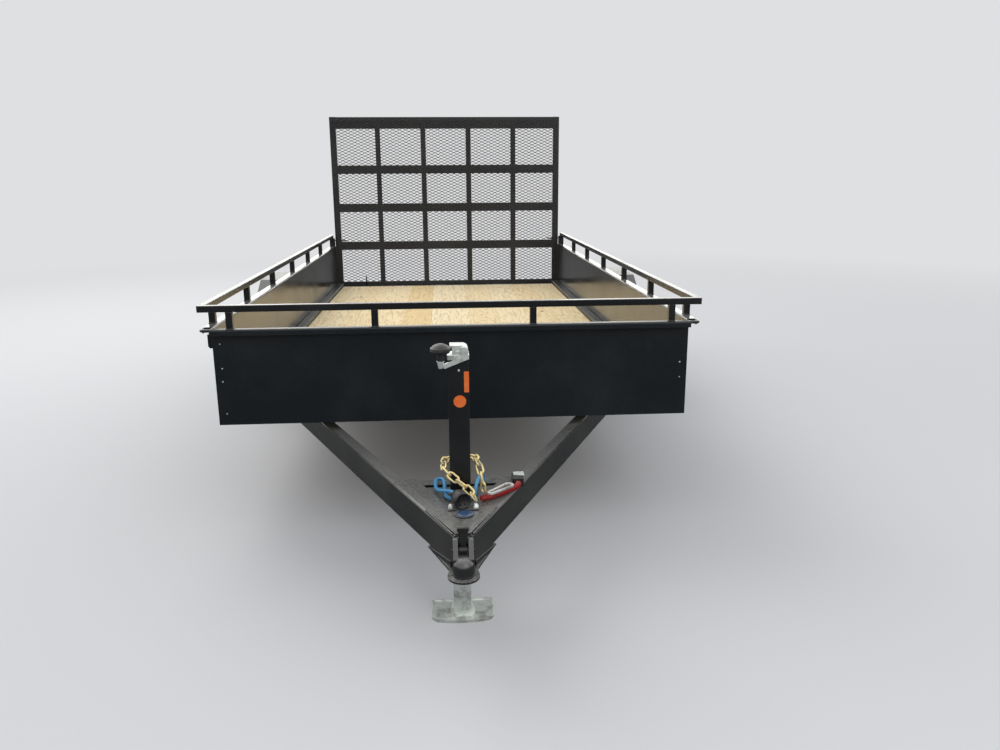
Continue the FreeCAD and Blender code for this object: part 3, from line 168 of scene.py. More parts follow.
# Deck screws: even rows, places across a board as shares of its width, and how far a screw strays
screw_rows = 7
screw_inset = 0.03
screw_shares = (0.2, 0.8)
narrow_screw_shares = (0.5,)
screw_stray_across = 0.004
screw_stray_along = 0.005
screw_sink = 0.0002
screw_outline = [(0, 0.0052), (0.0006, 0.0048), (0.0007, 0.002), (0.0001, 0.0015), (0.0001, 0)]

# Rail posts and weld beads
post_size = 0.0254
front_post_places = (0.300, 0.838)
first_side_post = 0.125
side_post_count = 6
post_weld_radius = 0.0026
post_weld_lift = 0.0005
gusset_front_half = 0.0285
gusset_weld_radius = 0.0034
gusset_weld_inset = 0.004
gusset_weld_lift = 0.001
gusset_weld_side = 0.001
weld_step = 0.0025
weld_swell = 0.14
weld_ripple = 1.9
weld_spread = 0.07

# Coupler's side plates
tongue_half_angle = 25.7
wing_start_x = 0.033
wing_start_y = 0.012
wing_length = 0.15
wing_front_height = 0.018
wing_rear_height = 0.003
wing_thickness = 0.0035

# Latch lever's web
flare_height = 0.046
flare_top_half = 0.0162
flare_foot_half = 0.0075
flare_thickness = 0.005
flare_top_gap = 0.0005
grip_depth = 0.002

# Hinge handles as (x, height)
handle_places = [(-0.676, 0.078), (-0.526, 0.016)]
handle_radius = 0.0055
handle_gap = 0.0005
handle_lift = 0.001

# Plate on the breakaway switch: its corners from the switch's left, right and rear faces
switch_left = 0.006
switch_right = 0.004
switch_rear = 0.004
switch_front_left = -0.022
switch_front_right = -0.030
switch_gap = 0.0003
switch_plate_thickness = 0.0022

# Bracket beside the front panel
bracket_low = 0.748
bracket_high = 0.801
bracket_width = 0.017
bracket_foot_width = 0.011
bracket_cut = 0.008
bracket_setback = 0.004
bracket_thickness = 0.005

# Tyre's wall as steps out from the bead, then places in from its widest, each with a radius
tyre_steps = 360
bead_place = 0.0705
bead_radius = 0.1912
bead_points = [(0, 0), (0.0002, 0.0165), (0.006, 0.021), (0.0105, 0.022)]
wall_points = [(0.0105, 0.232), (0.0045, 0.2435), (0.002, 0.2445), (0.001, 0.256), (0.0002, 0.266),
               (0.0008, 0.278), (0.002, 0.288), (0.0018, 0.2895), (0.0045, 0.299), (0.0085, 0.312),
               (0.0125, 0.3225), (0.018, 0.3325)]
lining_points = [(0.058, bead_radius), (0.07, 0.225), (0.09, 0.262), (0.082, 0.305), (0.05, 0.328)]

# Tread: its crown, grooves as places across the tyre, and notches as shares of their pitch
tread_half = 0.078
tread_steps = 60
tread_drop = 0.0065
tread_roundness = 2.6
tread_depth = 0.008
groove_places = (-0.05, -0.0175, 0.0175, 0.05)
groove_half = 0.0042
groove_wall = 0.0014
groove_weave = 0.0022
notch_count = 72
edge_notch_start = 0.0575
edge_notch_share = 0.2
edge_notch_depth = 0.7
rib_notch_across = (0.022, 0.045)
rib_notch_along = (0.5, 0.64)
rib_notch_depth = 0.45

# Expanded metal of the gate: half a diamond's width and the step between its rows
strand_half_pitch = 0.0253
strand_row_step = 0.0117
strand_width = 0.0036
strand_depth = 0.0026
strand_tilt = 38.0
bond_share = 0.14
mesh_edge = 0.0015


def corner_box(name):
    low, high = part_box(name)
    return Vector(low), Vector(high)


def centre_of(name):
    low, high = corner_box(name)
    return (low + high) / 2


panel_face = corner_box("front_rail")[0].y - sheet_thickness
jack_line = centre_of("jack_tube").y
jack_front = corner_box("jack_tube")[0].y
deck_low, deck_high = corner_box("deck_boards")
deck_width = deck_high.x - deck_low.x
narrow_board_width = deck_width % (board_width + board_gap) - board_gap
upward = Vector((0, 0, 1))
forward = Vector((0, -1, 0))


def board_places():
    """Distance from the deck's left edge and width of each board."""
    places = []
    edge = 0.0
    for index in range(len(board_shades)):
        width = narrow_board_width if index == boards_before_narrow_count else board_width
        places.append((edge, width))
        edge += width + board_gap
    return places


# Materials

def srgb(red, green, blue):
    """Linear colour of an sRGB triple in 0..255."""
    def linear(value):
        part = value / 255
        return part / 12.92 if part <= 0.04045 else ((part + 0.055) / 1.055) ** 2.4
    return (linear(red), linear(green), linear(blue), 1.0)


class NodeTree:
    """Short calls for the usual nodes of a material or world."""

    def __init__(self, tree):
        self.nodes = tree.nodes
        self.links = tree.links

    def add(self, kind, inputs=None, **settings):
        node = self.nodes.new(kind)
        for key, value in settings.items():
            setattr(node, key, value)
        for key, value in (inputs or {}).items():
            self.feed(node.inputs[key], value)
        return node

    def feed(self, socket, value):
        if isinstance(value, bpy.types.NodeSocket):
            self.links.new(value, socket)
        else:
            socket.default_value = value

    def level(self, factor, low, high, start=0.0, end=1.0):
        """The factor's stretch from start to end, spread from low to high."""
        node = self.add("ShaderNodeMapRange", {"Value": factor, "From Min": start, "From Max": end,
                                               "To Min": low, "To Max": high})
        return node.outputs["Result"]

    def mix(self, factor, first, second):
        node = self.add("ShaderNodeMix", data_type="RGBA")
        self.feed(node.inputs[0], factor)
        self.feed(node.inputs[6], first)
        self.feed(node.inputs[7], second)
        return node.outputs[2]

    def maths(self, operation, first, second=0.0):
        node = self.add("ShaderNodeMath", operation=operation)
        self.feed(node.inputs[0], first)
        self.feed(node.inputs[1], second)
        return node.outputs[0]


class Surface(NodeTree):
    """A material under construction."""

    def __init__(self, name):
        self.material = bpy.data.materials.new(name)
        self.material.use_nodes = True
        super().__init__(self.material.node_tree)
        self.shader = self.nodes["Principled BSDF"]

    def place(self):
        return self.add("ShaderNodeTexCoord").outputs["Object"]

    def stretched(self, where, along):
        """Places that make a pattern long down the boards: the smaller the number, the longer."""
        node = self.add("ShaderNodeMapping", {"Vector": where, "Scale": (1.0, along, 1.0)})
        return node.outputs["Vector"]

    def noise(self, scale, detail=3.0, rough=0.5, where=None, distortion=0.0):
        node = self.add("ShaderNodeTexNoise", {"Vector": where or self.place(), "Scale": scale,
                                               "Detail": detail, "Roughness": rough,
                                               "Distortion": distortion})
        return node.outputs["Fac"]

    def steps(self, factor, stops):
        """Colours that change in steps: the stops hold (start, colour)."""
        node = self.add("ShaderNodeValToRGB", {"Fac": factor})
        node.color_ramp.interpolation = "CONSTANT"
        elements = node.color_ramp.elements
        while len(elements) < len(stops):
            elements.new(0.5)
        for element, (position, colour) in zip(elements, stops):
            element.position = position
            element.color = colour
        return node.outputs["Color"]

    def edges(self, radius):
        """1 on sharp edges and 0 on flat faces, from how far a bevel turns the normal."""
        bevel = self.add("ShaderNodeBevel", {"Radius": radius}, samples=4)
        geometry = self.add("ShaderNodeNewGeometry")
        dot = self.add("ShaderNodeVectorMath", {0: bevel.outputs[0], 1: geometry.outputs["Normal"]},
                       operation="DOT_PRODUCT")
        turned = self.maths("SUBTRACT", 1.0, dot.outputs["Value"])
        return self.level(turned, 0.0, 1.0, 0.02, 0.25)

    def bump(self, height, distance, strength=1.0, radius=0.0):
        inputs = {"Height": height, "Distance": distance, "Strength": strength}
        if radius:
            inputs["Normal"] = self.add("ShaderNodeBevel", {"Radius": radius}, samples=4).outputs[0]
        node = self.add("ShaderNodeBump", inputs)
        self.links.new(node.outputs["Normal"], self.shader.inputs["Normal"])

    def colour(self, value):
        self.feed(self.shader.inputs["Base Color"], value)

    def finish(self, **values):
        names = {"metal": "Metallic", "rough": "Roughness", "gloss": "Specular IOR Level",
                 "coat": "Coat Weight"}
        for key, value in values.items():
            self.feed(self.shader.inputs[names[key]], value)
        return self.material


def powder_coat(name, colour, rough, gloss, peel, wear_and_edge_highlight=0.35, dust=0.1, top_light_and_dust=0.0):
    """Powder coat: rippled bump, dust in soft patches, paler specks on top faces that are partly settled dust
    and partly painted top light, and edges lightened partly by rubbed wear and partly as a painted highlight.
    """
    peel_width, peel_height = peel
    surface = Surface(name)
    patches = surface.noise(3.0, 6.0, 0.6)
    grain = surface.noise(180.0, 2.0)
    dust_and_lit_tops = surface.mix(surface.level(patches, 0.0, dust, 0.45, 0.75), colour, srgb(116, 115, 111))
    # Paler specks on upward faces: partly real settled dust, partly painted light that makes tops brighter
    # than sides.
    if top_light_and_dust:
        normal = surface.add("ShaderNodeNewGeometry").outputs["Normal"]
        height = surface.add("ShaderNodeSeparateXYZ", {"Vector": normal}).outputs["Z"]
        speck_and_top_light = surface.level(surface.noise(90.0, 4.0, 0.7), 0.25, top_light_and_dust, 0.35, 0.7)
        lit_top_and_dust_mask = surface.maths("MULTIPLY", surface.level(height, 0.0, 1.0, 0.6, 0.95), speck_and_top_light)
        dust_and_lit_tops = surface.mix(lit_top_and_dust_mask, dust_and_lit_tops, srgb(158, 157, 152))
    # Lightened edges in grainy patches: partly real rubbed wear, partly a painted highlight for glossy edges
    # catching the sky.
    worn_and_lit_patches = surface.level(grain, 0.0, wear_and_edge_highlight, 0.45, 0.6)
    rubbed_and_lit_edges = surface.maths("MULTIPLY", surface.edges(0.0025), worn_and_lit_patches)
    surface.colour(surface.mix(rubbed_and_lit_edges, dust_and_lit_tops, srgb(148, 148, 145)))
    surface.bump(surface.noise(1.0 / peel_width, 2.0, 0.4), peel_height, 1.0, 0.0015)
    rough_now = surface.level(patches, rough - 0.04, rough + 0.1, 0.3, 0.75)
    return surface.finish(rough=rough_now, gloss=gloss)


def zinc_plate(name, colour, rough):
    """Plated steel, clouded in patches and brighter where it is scratched."""
    surface = Surface(name)
    cloud = surface.noise(22.0, 5.0, 0.6)
    fine = surface.noise(260.0, 3.0, 0.6)
    spotted = surface.mix(surface.level(cloud, 0.0, 0.75, 0.48, 0.64), colour, srgb(132, 133, 126))
    scratched = surface.level(fine, 0.0, 0.4, 0.55, 0.7)
    surface.colour(surface.mix(scratched, spotted, srgb(205, 206, 200)))
    surface.bump(fine, 0.0004, 0.5, 0.0012)
    return surface.finish(metal=0.45, rough=surface.level(cloud, rough, rough + 0.2, 0.3, 0.7))


def board_tones(surface, x):
    """How dark the wood is across the deck, in steps at the boards' real edges."""
    stops = [(place[0] / deck_width, (shade, shade, shade, 1.0))
             for place, shade in zip(board_places(), board_shades)]
    across = surface.level(x, 0.0, 1.0, deck_low.x, deck_high.x)
    return surface.steps(across, stops)


def pine():
    """Flat-sawn boards: long grain, darker late wood, streaks and knots."""
    surface = Surface("pine_boards")
    split = surface.add("ShaderNodeSeparateXYZ", {"Vector": surface.place()})
    tone = board_tones(surface, split.outputs["X"])
    shift = surface.maths("MULTIPLY", tone, 37.0)
    moved = surface.add("ShaderNodeCombineXYZ", {"X": split.outputs["X"], "Y": split.outputs["Y"],
                                                 "Z": surface.maths("ADD", split.outputs["Z"], shift)})
    board = moved.outputs[0]
    rings = surface.noise(16.0, 2.0, 0.4, surface.stretched(board, 0.09), 0.5)
    bands = surface.maths("SINE", surface.maths("MULTIPLY", rings, 60.0))
    late = surface.level(bands, 0.0, 1.0, 0.1, 1.0)
    streaks = surface.noise(420.0, 3.0, 0.6, surface.stretched(board, 0.02))
    knots = surface.add("ShaderNodeTexVoronoi", {"Vector": surface.stretched(board, 0.55), "Scale": 3.1})
    knot = surface.level(knots.outputs["Distance"], 1.0, 0.0, 0.025, 0.06)
    pale = surface.mix(tone, srgb(252, 238, 202), srgb(232, 204, 148))
    grained = surface.mix(surface.maths("MULTIPLY", late, 0.42), pale, srgb(190, 152, 96))
    streaked = surface.mix(surface.level(streaks, 0.0, 0.35, 0.5, 0.75), grained, srgb(176, 142, 96))
    knotted = surface.mix(surface.maths("MULTIPLY", knot, 0.8), streaked, srgb(110, 70, 38))
    surface.colour(knotted)
    height = surface.maths("ADD", surface.maths("MULTIPLY", late, 0.3), streaks)
    surface.bump(height, 0.0006, 0.6, 0.002)
    return surface.finish(rough=surface.level(streaks, 0.55, 0.8), gloss=0.35)


def rubber():
    """Tyre rubber with grime in patches."""
    surface = Surface("tyre_rubber")
    grime = surface.noise(7.0, 6.0, 0.6)
    fine = surface.noise(300.0, 2.0)
    surface.colour(surface.mix(surface.level(grime, 0.0, 0.35, 0.4, 0.8), srgb(30, 30, 30), srgb(84, 80, 72)))
    surface.bump(fine, 0.0003, 0.6, 0.001)
    return surface.finish(rough=surface.level(grime, 0.67, 0.85), gloss=0.3)


def plastic(name, colour, rough):
    """Moulded plastic, faintly grained and greyed in patches."""
    surface = Surface(name)
    fine = surface.noise(900.0, 2.0)
    soft = surface.noise(30.0, 3.0)
    surface.colour(surface.mix(surface.level(soft, 0.0, 0.2, 0.4, 0.8), colour, srgb(90, 90, 88)))
    surface.bump(fine, 0.0001, 0.6, 0.0008)
    return surface.finish(rough=surface.level(soft, rough - 0.05, rough + 0.1))


def lens(name, colour):
    """Coloured lamp lens with prisms behind a glossy skin."""
    surface = Surface(name)
    prisms = surface.add("ShaderNodeTexVoronoi", {"Vector": surface.place(), "Scale": 180.0})
    dark = (*(part * 0.35 for part in colour[:3]), 1.0)
    surface.colour(surface.mix(surface.level(prisms.outputs["Distance"], 0.0, 0.5, 0.1, 0.6), colour, dark))
    surface.bump(prisms.outputs["Distance"], 0.0006, 0.5, 0.0015)
    return surface.finish(rough=0.12, coat=0.6)


def orange_sticker():
    """Plain orange film, slightly faded in patches."""
    surface = Surface("orange_sticker")
    patches = surface.noise(60.0, 3.0)
    faded = surface.level(patches, 0.0, 0.5, 0.4, 0.7)
    surface.colour(surface.mix(faded, srgb(252, 116, 44), srgb(255, 150, 84)))
    surface.bump(patches, 0.0001, 0.4)
    return surface.finish(rough=0.4)


paint = {
    "black_gloss": powder_coat("gloss_black", srgb(17, 19, 21), 0.24, 0.5, fine_peel,
                               wear_and_edge_highlight=0.75, dust=0.06, top_light_and_dust=0.6),
    "panel_black": powder_coat("panel_black", srgb(21, 27, 31), 0.36, 0.3, panel_peel,
                               wear_and_edge_highlight=0.25, dust=0.05, top_light_and_dust=0.4),
    "gate_black": powder_coat("gate_black", srgb(24, 24, 25), 0.42, 0.45, fine_peel),
    "spring_black": powder_coat("spring_black", srgb(34, 34, 33), 0.6, 0.3, spring_peel,
                                wear_and_edge_highlight=0.4, dust=0.3),
    "pine": pine(),
    "zinc": zinc_plate("bright_zinc", srgb(226, 231, 225), 0.3),
    "tyre": rubber(),
    "wheel_silver": powder_coat("wheel_silver", srgb(176, 178, 180), 0.34, 0.5, wheel_peel, wear_and_edge_highlight=0.1),
    "black_plastic": plastic("black_plastic", srgb(24, 24, 25), 0.45),
    "yellow_zinc": zinc_plate("yellow_zinc", srgb(232, 212, 150), 0.34),
    "cord_blue": plastic("lead_jacket", srgb(58, 142, 190), 0.4),
    "cord_red": plastic("coil_jacket", srgb(176, 22, 24), 0.35),
    "red_lens": lens("red_lens", srgb(170, 14, 16)),
    "amber_lens": lens("amber_lens", srgb(226, 112, 14)),
}

# Looks of single pieces that differ from the rest of their slot
side_gloss = powder_coat("side_gloss", srgb(38, 39, 38), 0.17, 1.0, side_peel, wear_and_edge_highlight=0.45, top_light_and_dust=0.5)
rail_black = powder_coat("rail_black", srgb(26, 26, 26), 0.42, 0.3, fine_peel, wear_and_edge_highlight=0.5, dust=0.15)
channel_black = powder_coat("channel_black", srgb(33, 35, 33), 0.28, 0.5, fine_peel,
                            wear_and_edge_highlight=0.75, dust=0.2, top_light_and_dust=0.6)
coupler_black = powder_coat("coupler_black", srgb(30, 31, 31), 0.2, 0.8, fine_peel, wear_and_edge_highlight=1.0, top_light_and_dust=0.6)
lever_black = plastic("lever_black", srgb(9, 9, 10), 0.5)
# The lid's blue is partly its own plastic and partly a painted blue highlight on the lid's right half.
lid_blue_and_highlight = plastic("lid_plastic", srgb(60, 86, 120), 0.15)

slot_of = {entry["node"]: entry["material_slot"] for entry in frame["record"]["subparts"]}
looks = {"coupler_latch": lever_black, "side_panels": side_gloss, "side_rails": rail_black,
         "tongue_channels": channel_black, "coupler": coupler_black}
for name, thing in nodes_by_name.items():
    thing.data.materials.clear()
    thing.data.materials.append(looks.get(name, paint[slot_of[name]]))


# Helpers for new pieces

def link(name, data):
    """Object in the scene, of a mesh, curve, lamp or camera."""
    piece = bpy.data.objects.new(name, data)
    bpy.context.scene.collection.objects.link(piece)
    return piece


def mesh_from(name, shape):
    """Mesh from a bmesh, which is freed."""
    mesh = bpy.data.meshes.new(name)
    shape.to_mesh(mesh)
    shape.free()
    return mesh


def finish_piece(piece, slot, body, look=None):
    """Gives a piece its look, or else the paint of its slot, and the body that it rides on."""
    piece.data.materials.append(look or paint[slot])
    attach(piece, body)


def new_piece(name, shape, slot, body, smooth=False, look=None):
    """Finished piece from a bmesh."""
    bmesh.ops.recalc_face_normals(shape, faces=shape.faces)
    piece = link(name, mesh_from(name, shape))
    finish_piece(piece, slot, body, look)
    for face in piece.data.polygons:
        face.use_smooth = smooth
    return piece


def basis(axis):
    """Two directions square to an axis."""
    axis = axis.normalized()
    helper = upward if abs(axis.z) < 0.9 else Vector((1, 0, 0))
    side = helper.cross(axis).normalized()
    return side, axis.cross(side)


def full_turn(steps):
    return [2 * math.pi * step / steps for step in range(steps)]


def on_circle(centre, side, across, radius, turn):
    return centre + (side * math.cos(turn) + across * math.sin(turn)) * radius


def add_ring(shape, centre, side, across, radius, steps):
    """Corners round a centre, or the centre alone where the radius is nothing."""
    if radius == 0:
        return [shape.verts.new(centre)]
    return [shape.verts.new(on_circle(centre, side, across, radius, turn)) for turn in full_turn(steps)]


def bridge(shape, ring, other):
    """Faces all round between two rings of corners, either of which may be a single point."""
    count = max(len(ring), len(other))
    for step in range(count):
        after = (step + 1) % count
        if len(ring) == 1:
            shape.faces.new((ring[0], other[step], other[after]))
        elif len(other) == 1:
            shape.faces.new((ring[step], ring[after], other[0]))
        else:
            shape.faces.new((ring[step], ring[after], other[after], other[step]))


def add_lathe(shape, outline, centre, axis, steps):
    """Surface of revolution: the outline holds (distance along the axis, radius)."""
    side, across = basis(axis)
    axis = axis.normalized()
    rings = [add_ring(shape, centre + axis * distance, side, across, radius, steps)
             for distance, radius in outline]
    for ring, other in zip(rings, rings[1:]):
        bridge(shape, ring, other)


def add_tube(shape, points, radii, sides, closed=False):
    """Round bar along points, with a radius at each point."""
    count = len(points)
    rings = []
    side = None
    for index, (point, radius) in enumerate(zip(points, radii)):
        ahead = points[(index + 1) % count] if closed or index + 1 < count else point
        behind = points[index - 1] if closed or index else point
        along = (ahead - behind).normalized()
        side = basis(along)[0] if side is None else (side - along * side.dot(along)).normalized()
        rings.append(add_ring(shape, point, side, along.cross(side), radius, sides))
    for ring, other in zip(rings, rings[1:]):
        bridge(shape, ring, other)
    if closed:
        bridge(shape, rings[-1], rings[0])
    else:
        shape.faces.new(rings[0])
        shape.faces.new(rings[-1])


def add_plate(shape, corners, thickness):
    """Flat plate: corners in order, thickened along a vector."""
    low = [shape.verts.new(corner) for corner in corners]
    high = [shape.verts.new(corner + thickness) for corner in corners]
    shape.faces.new(low)
    shape.faces.new(high)
    bridge(shape, low, high)


def nurbs_curve(name, points, thickness):
    """Curve of one open NURBS spline through its end points."""
    curve = bpy.data.curves.new(name, "CURVE")
    curve.dimensions = "3D"
    curve.bevel_depth = thickness / 2
    curve.bevel_resolution = 3
    curve.use_fill_caps = True
    spline = curve.splines.new("NURBS")
    spline.points.add(len(points) - 1)
    for control, point in zip(spline.points, points):
        control.co = (*point, 1.0)
    spline.order_u = 3
    spline.use_endpoint_u = True
    spline.resolution_u = 6
    return link(name, curve)


def line_points(curve_piece):
    """Points along a curve that has no bevel."""
    mesh = bpy.data.meshes.new_from_object(curve_piece)
    points = [vertex.co.copy() for vertex in mesh.vertices]
    bpy.data.meshes.remove(mesh)
    return points


def from_jack(points):
    return [Vector((x, jack_line + y, z)) for x, y, z in points]


def helix(line, radius, pitch, steps):
    """Points of a coil round a line, a given pitch apart."""
    points = []
    travelled = 0.0
    side = upward
    for start, end in zip(line, line[1:]):
        run = end - start
        along = run.normalized()
        side = (side - along * side.dot(along)).normalized()
        across = along.cross(side)
        while travelled < run.length:
            turn = 2 * math.pi * len(points) / steps
            points.append(on_circle(start + along * travelled, side, across, radius, turn))
            travelled += pitch / steps
        travelled -= run.length
    return points


# Camera and cords

def aim_camera():
    """The photograph's camera: yaw to the right, pitch down, then roll."""
    yaw, pitch, roll = (math.radians(angle) for angle in (camera_yaw, camera_pitch, camera_roll))
    ahead = Vector((math.sin(yaw) * math.cos(pitch), math.cos(yaw) * math.cos(pitch), -math.sin(pitch)))
    level_right = Vector((math.cos(yaw), -math.sin(yaw), 0.0))
    level_up = level_right.cross(ahead)
    right = level_right * math.cos(roll) + level_up * math.sin(roll)
    up = level_up * math.cos(roll) - level_right * math.sin(roll)
    camera = link("photo_camera", bpy.data.cameras.new("photo_camera"))
    camera.data.sensor_width = sensor_width
    camera.data.lens = focal_pixels / photo_width * sensor_width
    turned = Matrix((right, up, -ahead)).transposed().to_4x4()
    place = (camera_side, panel_face - camera_back, camera_height)
    camera.matrix_world = Matrix.Translation(place) @ turned
    bpy.context.scene.camera = camera


def lead_cord():
    """Lead from the cross tie round the jack's tube into the plug."""
    lead = nurbs_curve("lead_cord", from_jack(lead_points), lead_thickness)
    finish_piece(lead, "cord_blue", "chassis")
    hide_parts("lead")
    plug_shape()


def breakaway_cord():
    """Coiled breakaway cable from its switch to the snap hook."""
    route = nurbs_curve("coil_route", from_jack(coil_points), 0.0)
    line = line_points(route)
    bpy.data.objects.remove(route)
    turns = helix(line, coil_radius - coil_thickness / 2, coil_pitch, coil_steps)
    coil = nurbs_curve("breakaway_cable", [line[0]] + turns + [line[-1]], coil_thickness)
    coil.data.splines[0].resolution_u = 2
    finish_piece(coil, "cord_red", "chassis")
    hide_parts("breakaway_coil")


def plug_shape():
    """Moulded plug: rim, sunk face with its pins, ribbed grip and boot."""
    axis = Vector((math.sin(math.radians(plug_turn)), math.cos(math.radians(plug_turn)), 0))
    face = from_jack([plug_place])[0]
    outline = list(plug_rim)
    for rib in range(rib_count):
        start = rib_start + rib_pitch * rib
        outline += [(start + along, radius - rib_taper * rib) for along, radius in rib_outline]
    shape = bmesh.new()
    add_lathe(shape, outline + plug_boot, face, axis, steps=40)
    side, across = basis(axis)
    for turn in full_turn(pin_count):
        pin = on_circle(face, side, across, pin_circle_radius, turn)
        add_lathe(shape, pin_outline, pin, axis, steps=10)
    piece = new_piece("moulded_plug", shape, "black_plastic", "chassis", smooth=True, look=lever_black)
    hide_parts("trailer_plug")
    return piece


def runs_with_arcs(points):
    """Points along straight runs that tangent arcs join."""
    line = [points[0]]
    for before, here, after in zip(points, points[1:], points[2:]):
        back, ahead = (before - here).normalized(), (after - here).normalized()
        reach = arc_share * min((before - here).length, (after - here).length)
        half_turn = back.angle(ahead) / 2
        middle = (back + ahead).normalized()
        centre = here + middle * (reach / math.cos(half_turn))
        first, last = here + back * reach - centre, here + ahead * reach - centre
        for step in range(arc_steps + 1):
            spoke = first.normalized().slerp(last.normalized(), step / arc_steps)
            line.append(centre + spoke * first.length)
    line.append(points[-1])
    return line


def chain_joints():
    """Points one link apart along the chain's line."""
    pitch = link_length - 2 * link_wire - link_slack
    line = runs_with_arcs(from_jack(chain_points))
    joints = [line[0]]
    for start, end in zip(line, line[1:]):
        parts = max(1, int((end - start).length / joint_search_step))
        for index in range(parts):
            point = start.lerp(end, (index + 1) / parts)
            if (point - joints[-1]).length >= pitch:
                joints.append(point)
    return joints


def safety_chain():
    """Welded round links, each turned a quarter from the one before."""
    shape = bmesh.new()
    bend = (link_width - link_wire) / 2
    straight = (link_length - link_width) / 2
    joints = chain_joints()
    for index, (near, far) in enumerate(zip(joints, joints[1:])):
        along = (far - near).normalized()
        level = upward.cross(along).normalized()
        up = along.cross(level)
        turn = math.radians(link_turn + 90 * (index % 2))
        wide = level * math.cos(turn) + up * math.sin(turn)
        middle = (near + far) / 2
        points = []
        for step in range(link_steps):
            angle = 2 * math.pi * (step + 0.5) / link_steps
            shift = straight if math.cos(angle) > 0 else -straight
            points.append(middle + along * (shift + bend * math.cos(angle)) + wide * bend * math.sin(angle))
        add_tube(shape, points, [link_wire / 2] * len(points), link_sides, closed=True)
    piece = new_piece("safety_chain_links", shape, "yellow_zinc", "chassis", smooth=True)
    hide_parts("safety_chain")


# Stickers, bolts and welds

def lid_and_nuts():
    """Domed blue skin on the holder's open lid, partly its own plastic colour and partly a painted highlight,
    and the two shiny nuts of the holder.
    """
    foot = corner_box("plug_holder")[0].z
    x, back, height = lid_place
    shape = bmesh.new()
    add_lathe(shape, lid_outline, Vector((x, jack_line + back, foot + height)), upward, steps=32)
    new_piece("plug_lid", shape, "black_plastic", "chassis", smooth=True, look=lid_blue_and_highlight)
    shape = bmesh.new()
    for x in nut_sides:
        spot = Vector((x, jack_line + nut_back, foot + nut_foot))
        add_lathe(shape, nut_outline, spot, upward, steps=20)
    new_piece("holder_nuts", shape, "zinc", "chassis", smooth=True)


def sticker(name, corners):
    shape = bmesh.new()
    face = jack_front - skin_gap
    add_plate(shape, [Vector((x, face, z)) for x, z in corners], Vector((0, sticker_thickness, 0)))
    new_piece(name, shape, "amber_lens", "chassis", look=orange_sticker())


def jack_stickers():
    """Two plain orange stickers on the jack's front: an upright strip and a disc."""
    left, right, low, high = strip_place
    sticker("sticker_strip", [(left, low), (right, low), (right, high), (left, high)])
    x, z = disc_place
    sticker("sticker_disc", [(x + disc_radius * math.cos(turn), z + disc_radius * math.sin(turn))
                             for turn in full_turn(disc_steps)])


def add_hex(shape, centre, axis, radius, height):
    """Hexagonal bolt head with a chamfered top."""
    side, across = basis(axis)
    outline = ((0, radius), (height * bolt_chamfer_start, radius), (height, radius * bolt_chamfer_share))
    rings = [add_ring(shape, centre + axis * distance, side, across, size, steps=6)
             for distance, size in outline]
    for ring, other in zip(rings, rings[1:]):
        bridge(shape, ring, other)
    shape.faces.new(rings[-1])
    shape.faces.new(rings[0])


def panel_bolts():
    """Rivet heads along the front panel's two ends and a bolt near the top of the jack's tube."""
    shape = bmesh.new()
    for x, z in rivet_places:
        add_lathe(shape, rivet_outline, Vector((x, panel_face, z)), forward, steps=14)
    new_piece("panel_rivets", shape, "zinc", "chassis", smooth=True)
    shape = bmesh.new()
    x, z = bolt_place
    add_hex(shape, Vector((x, jack_front, z)), forward, bolt_radius, bolt_height)
    new_piece("jack_bolt", shape, "zinc", "chassis")


def deck_screws():
    """Screw heads in even rows from the deck's front edge to its rear edge."""
    shape = bmesh.new()
    row_step = (deck_high.y - deck_low.y - 2 * screw_inset) / (screw_rows - 1)
    for edge, width in board_places():
        for share in (screw_shares if width == board_width else narrow_screw_shares):
            for row in range(screw_rows):
                x = deck_low.x + edge + width * share
                x += dice.uniform(-screw_stray_across, screw_stray_across)
                y = deck_low.y + screw_inset + row * row_step
                y += dice.uniform(-screw_stray_along, screw_stray_along)
                spot = Vector((x, y, deck_high.z - screw_sink))
                add_lathe(shape, screw_outline, spot, upward, steps=10)
    new_piece("deck_screws", shape, "spring_black", "chassis")


def add_weld(shape, start, end, radius):
    """Weld bead: a bar whose radius swells with each ripple."""
    count = max(4, int((end - start).length / weld_step))
    points = [start.lerp(end, step / count) for step in range(count + 1)]
    radii = []
    for step in range(count + 1):
        ripple = 1 - weld_swell + weld_swell * math.sin(step * weld_ripple)
        radii.append(radius * ripple * dice.uniform(1 - weld_spread, 1 + weld_spread))
    add_tube(shape, points, radii, sides=7)


def post_places():
    """Centres of the rail posts: four at the front and a row along each side."""
    low, high = corner_box("rail_posts")
    half = post_size / 2
    places = [(side * x, low.y + half) for side in (-1, 1) for x in front_post_places]
    first = panel_face + first_side_post
    step = (high.y - half - first) / (side_post_count - 1)
    for side_x in (low.x + half, high.x - half):
        places += [(side_x, first + step * index) for index in range(side_post_count)]
    return places


def post_welds():
    """Beads round the foot of each rail post and along the gusset's edges."""
    shape = bmesh.new()
    flange = corner_box("front_panel")[1].z + post_weld_lift
    half = post_size / 2
    for x, y in post_places():
        corners = [(x - half, y - half), (x + half, y - half), (x + half, y + half), (x - half, y + half)]
        for first, second in zip(corners, corners[1:] + corners[:1]):
            add_weld(shape, Vector((*first, flange)), Vector((*second, flange)), post_weld_radius)
    low, high = corner_box("tongue_gusset")
    z = low.z + gusset_weld_lift
    for side in (-1, 1):
        start = Vector((side * gusset_front_half, low.y + gusset_weld_inset, z))
        end = Vector((side * (high.x - gusset_weld_side), high.y - gusset_weld_inset, z))
        add_weld(shape, start, end, gusset_weld_radius)
    new_piece("weld_beads", shape, "black_gloss", "chassis", smooth=True)


# Small plates and handles

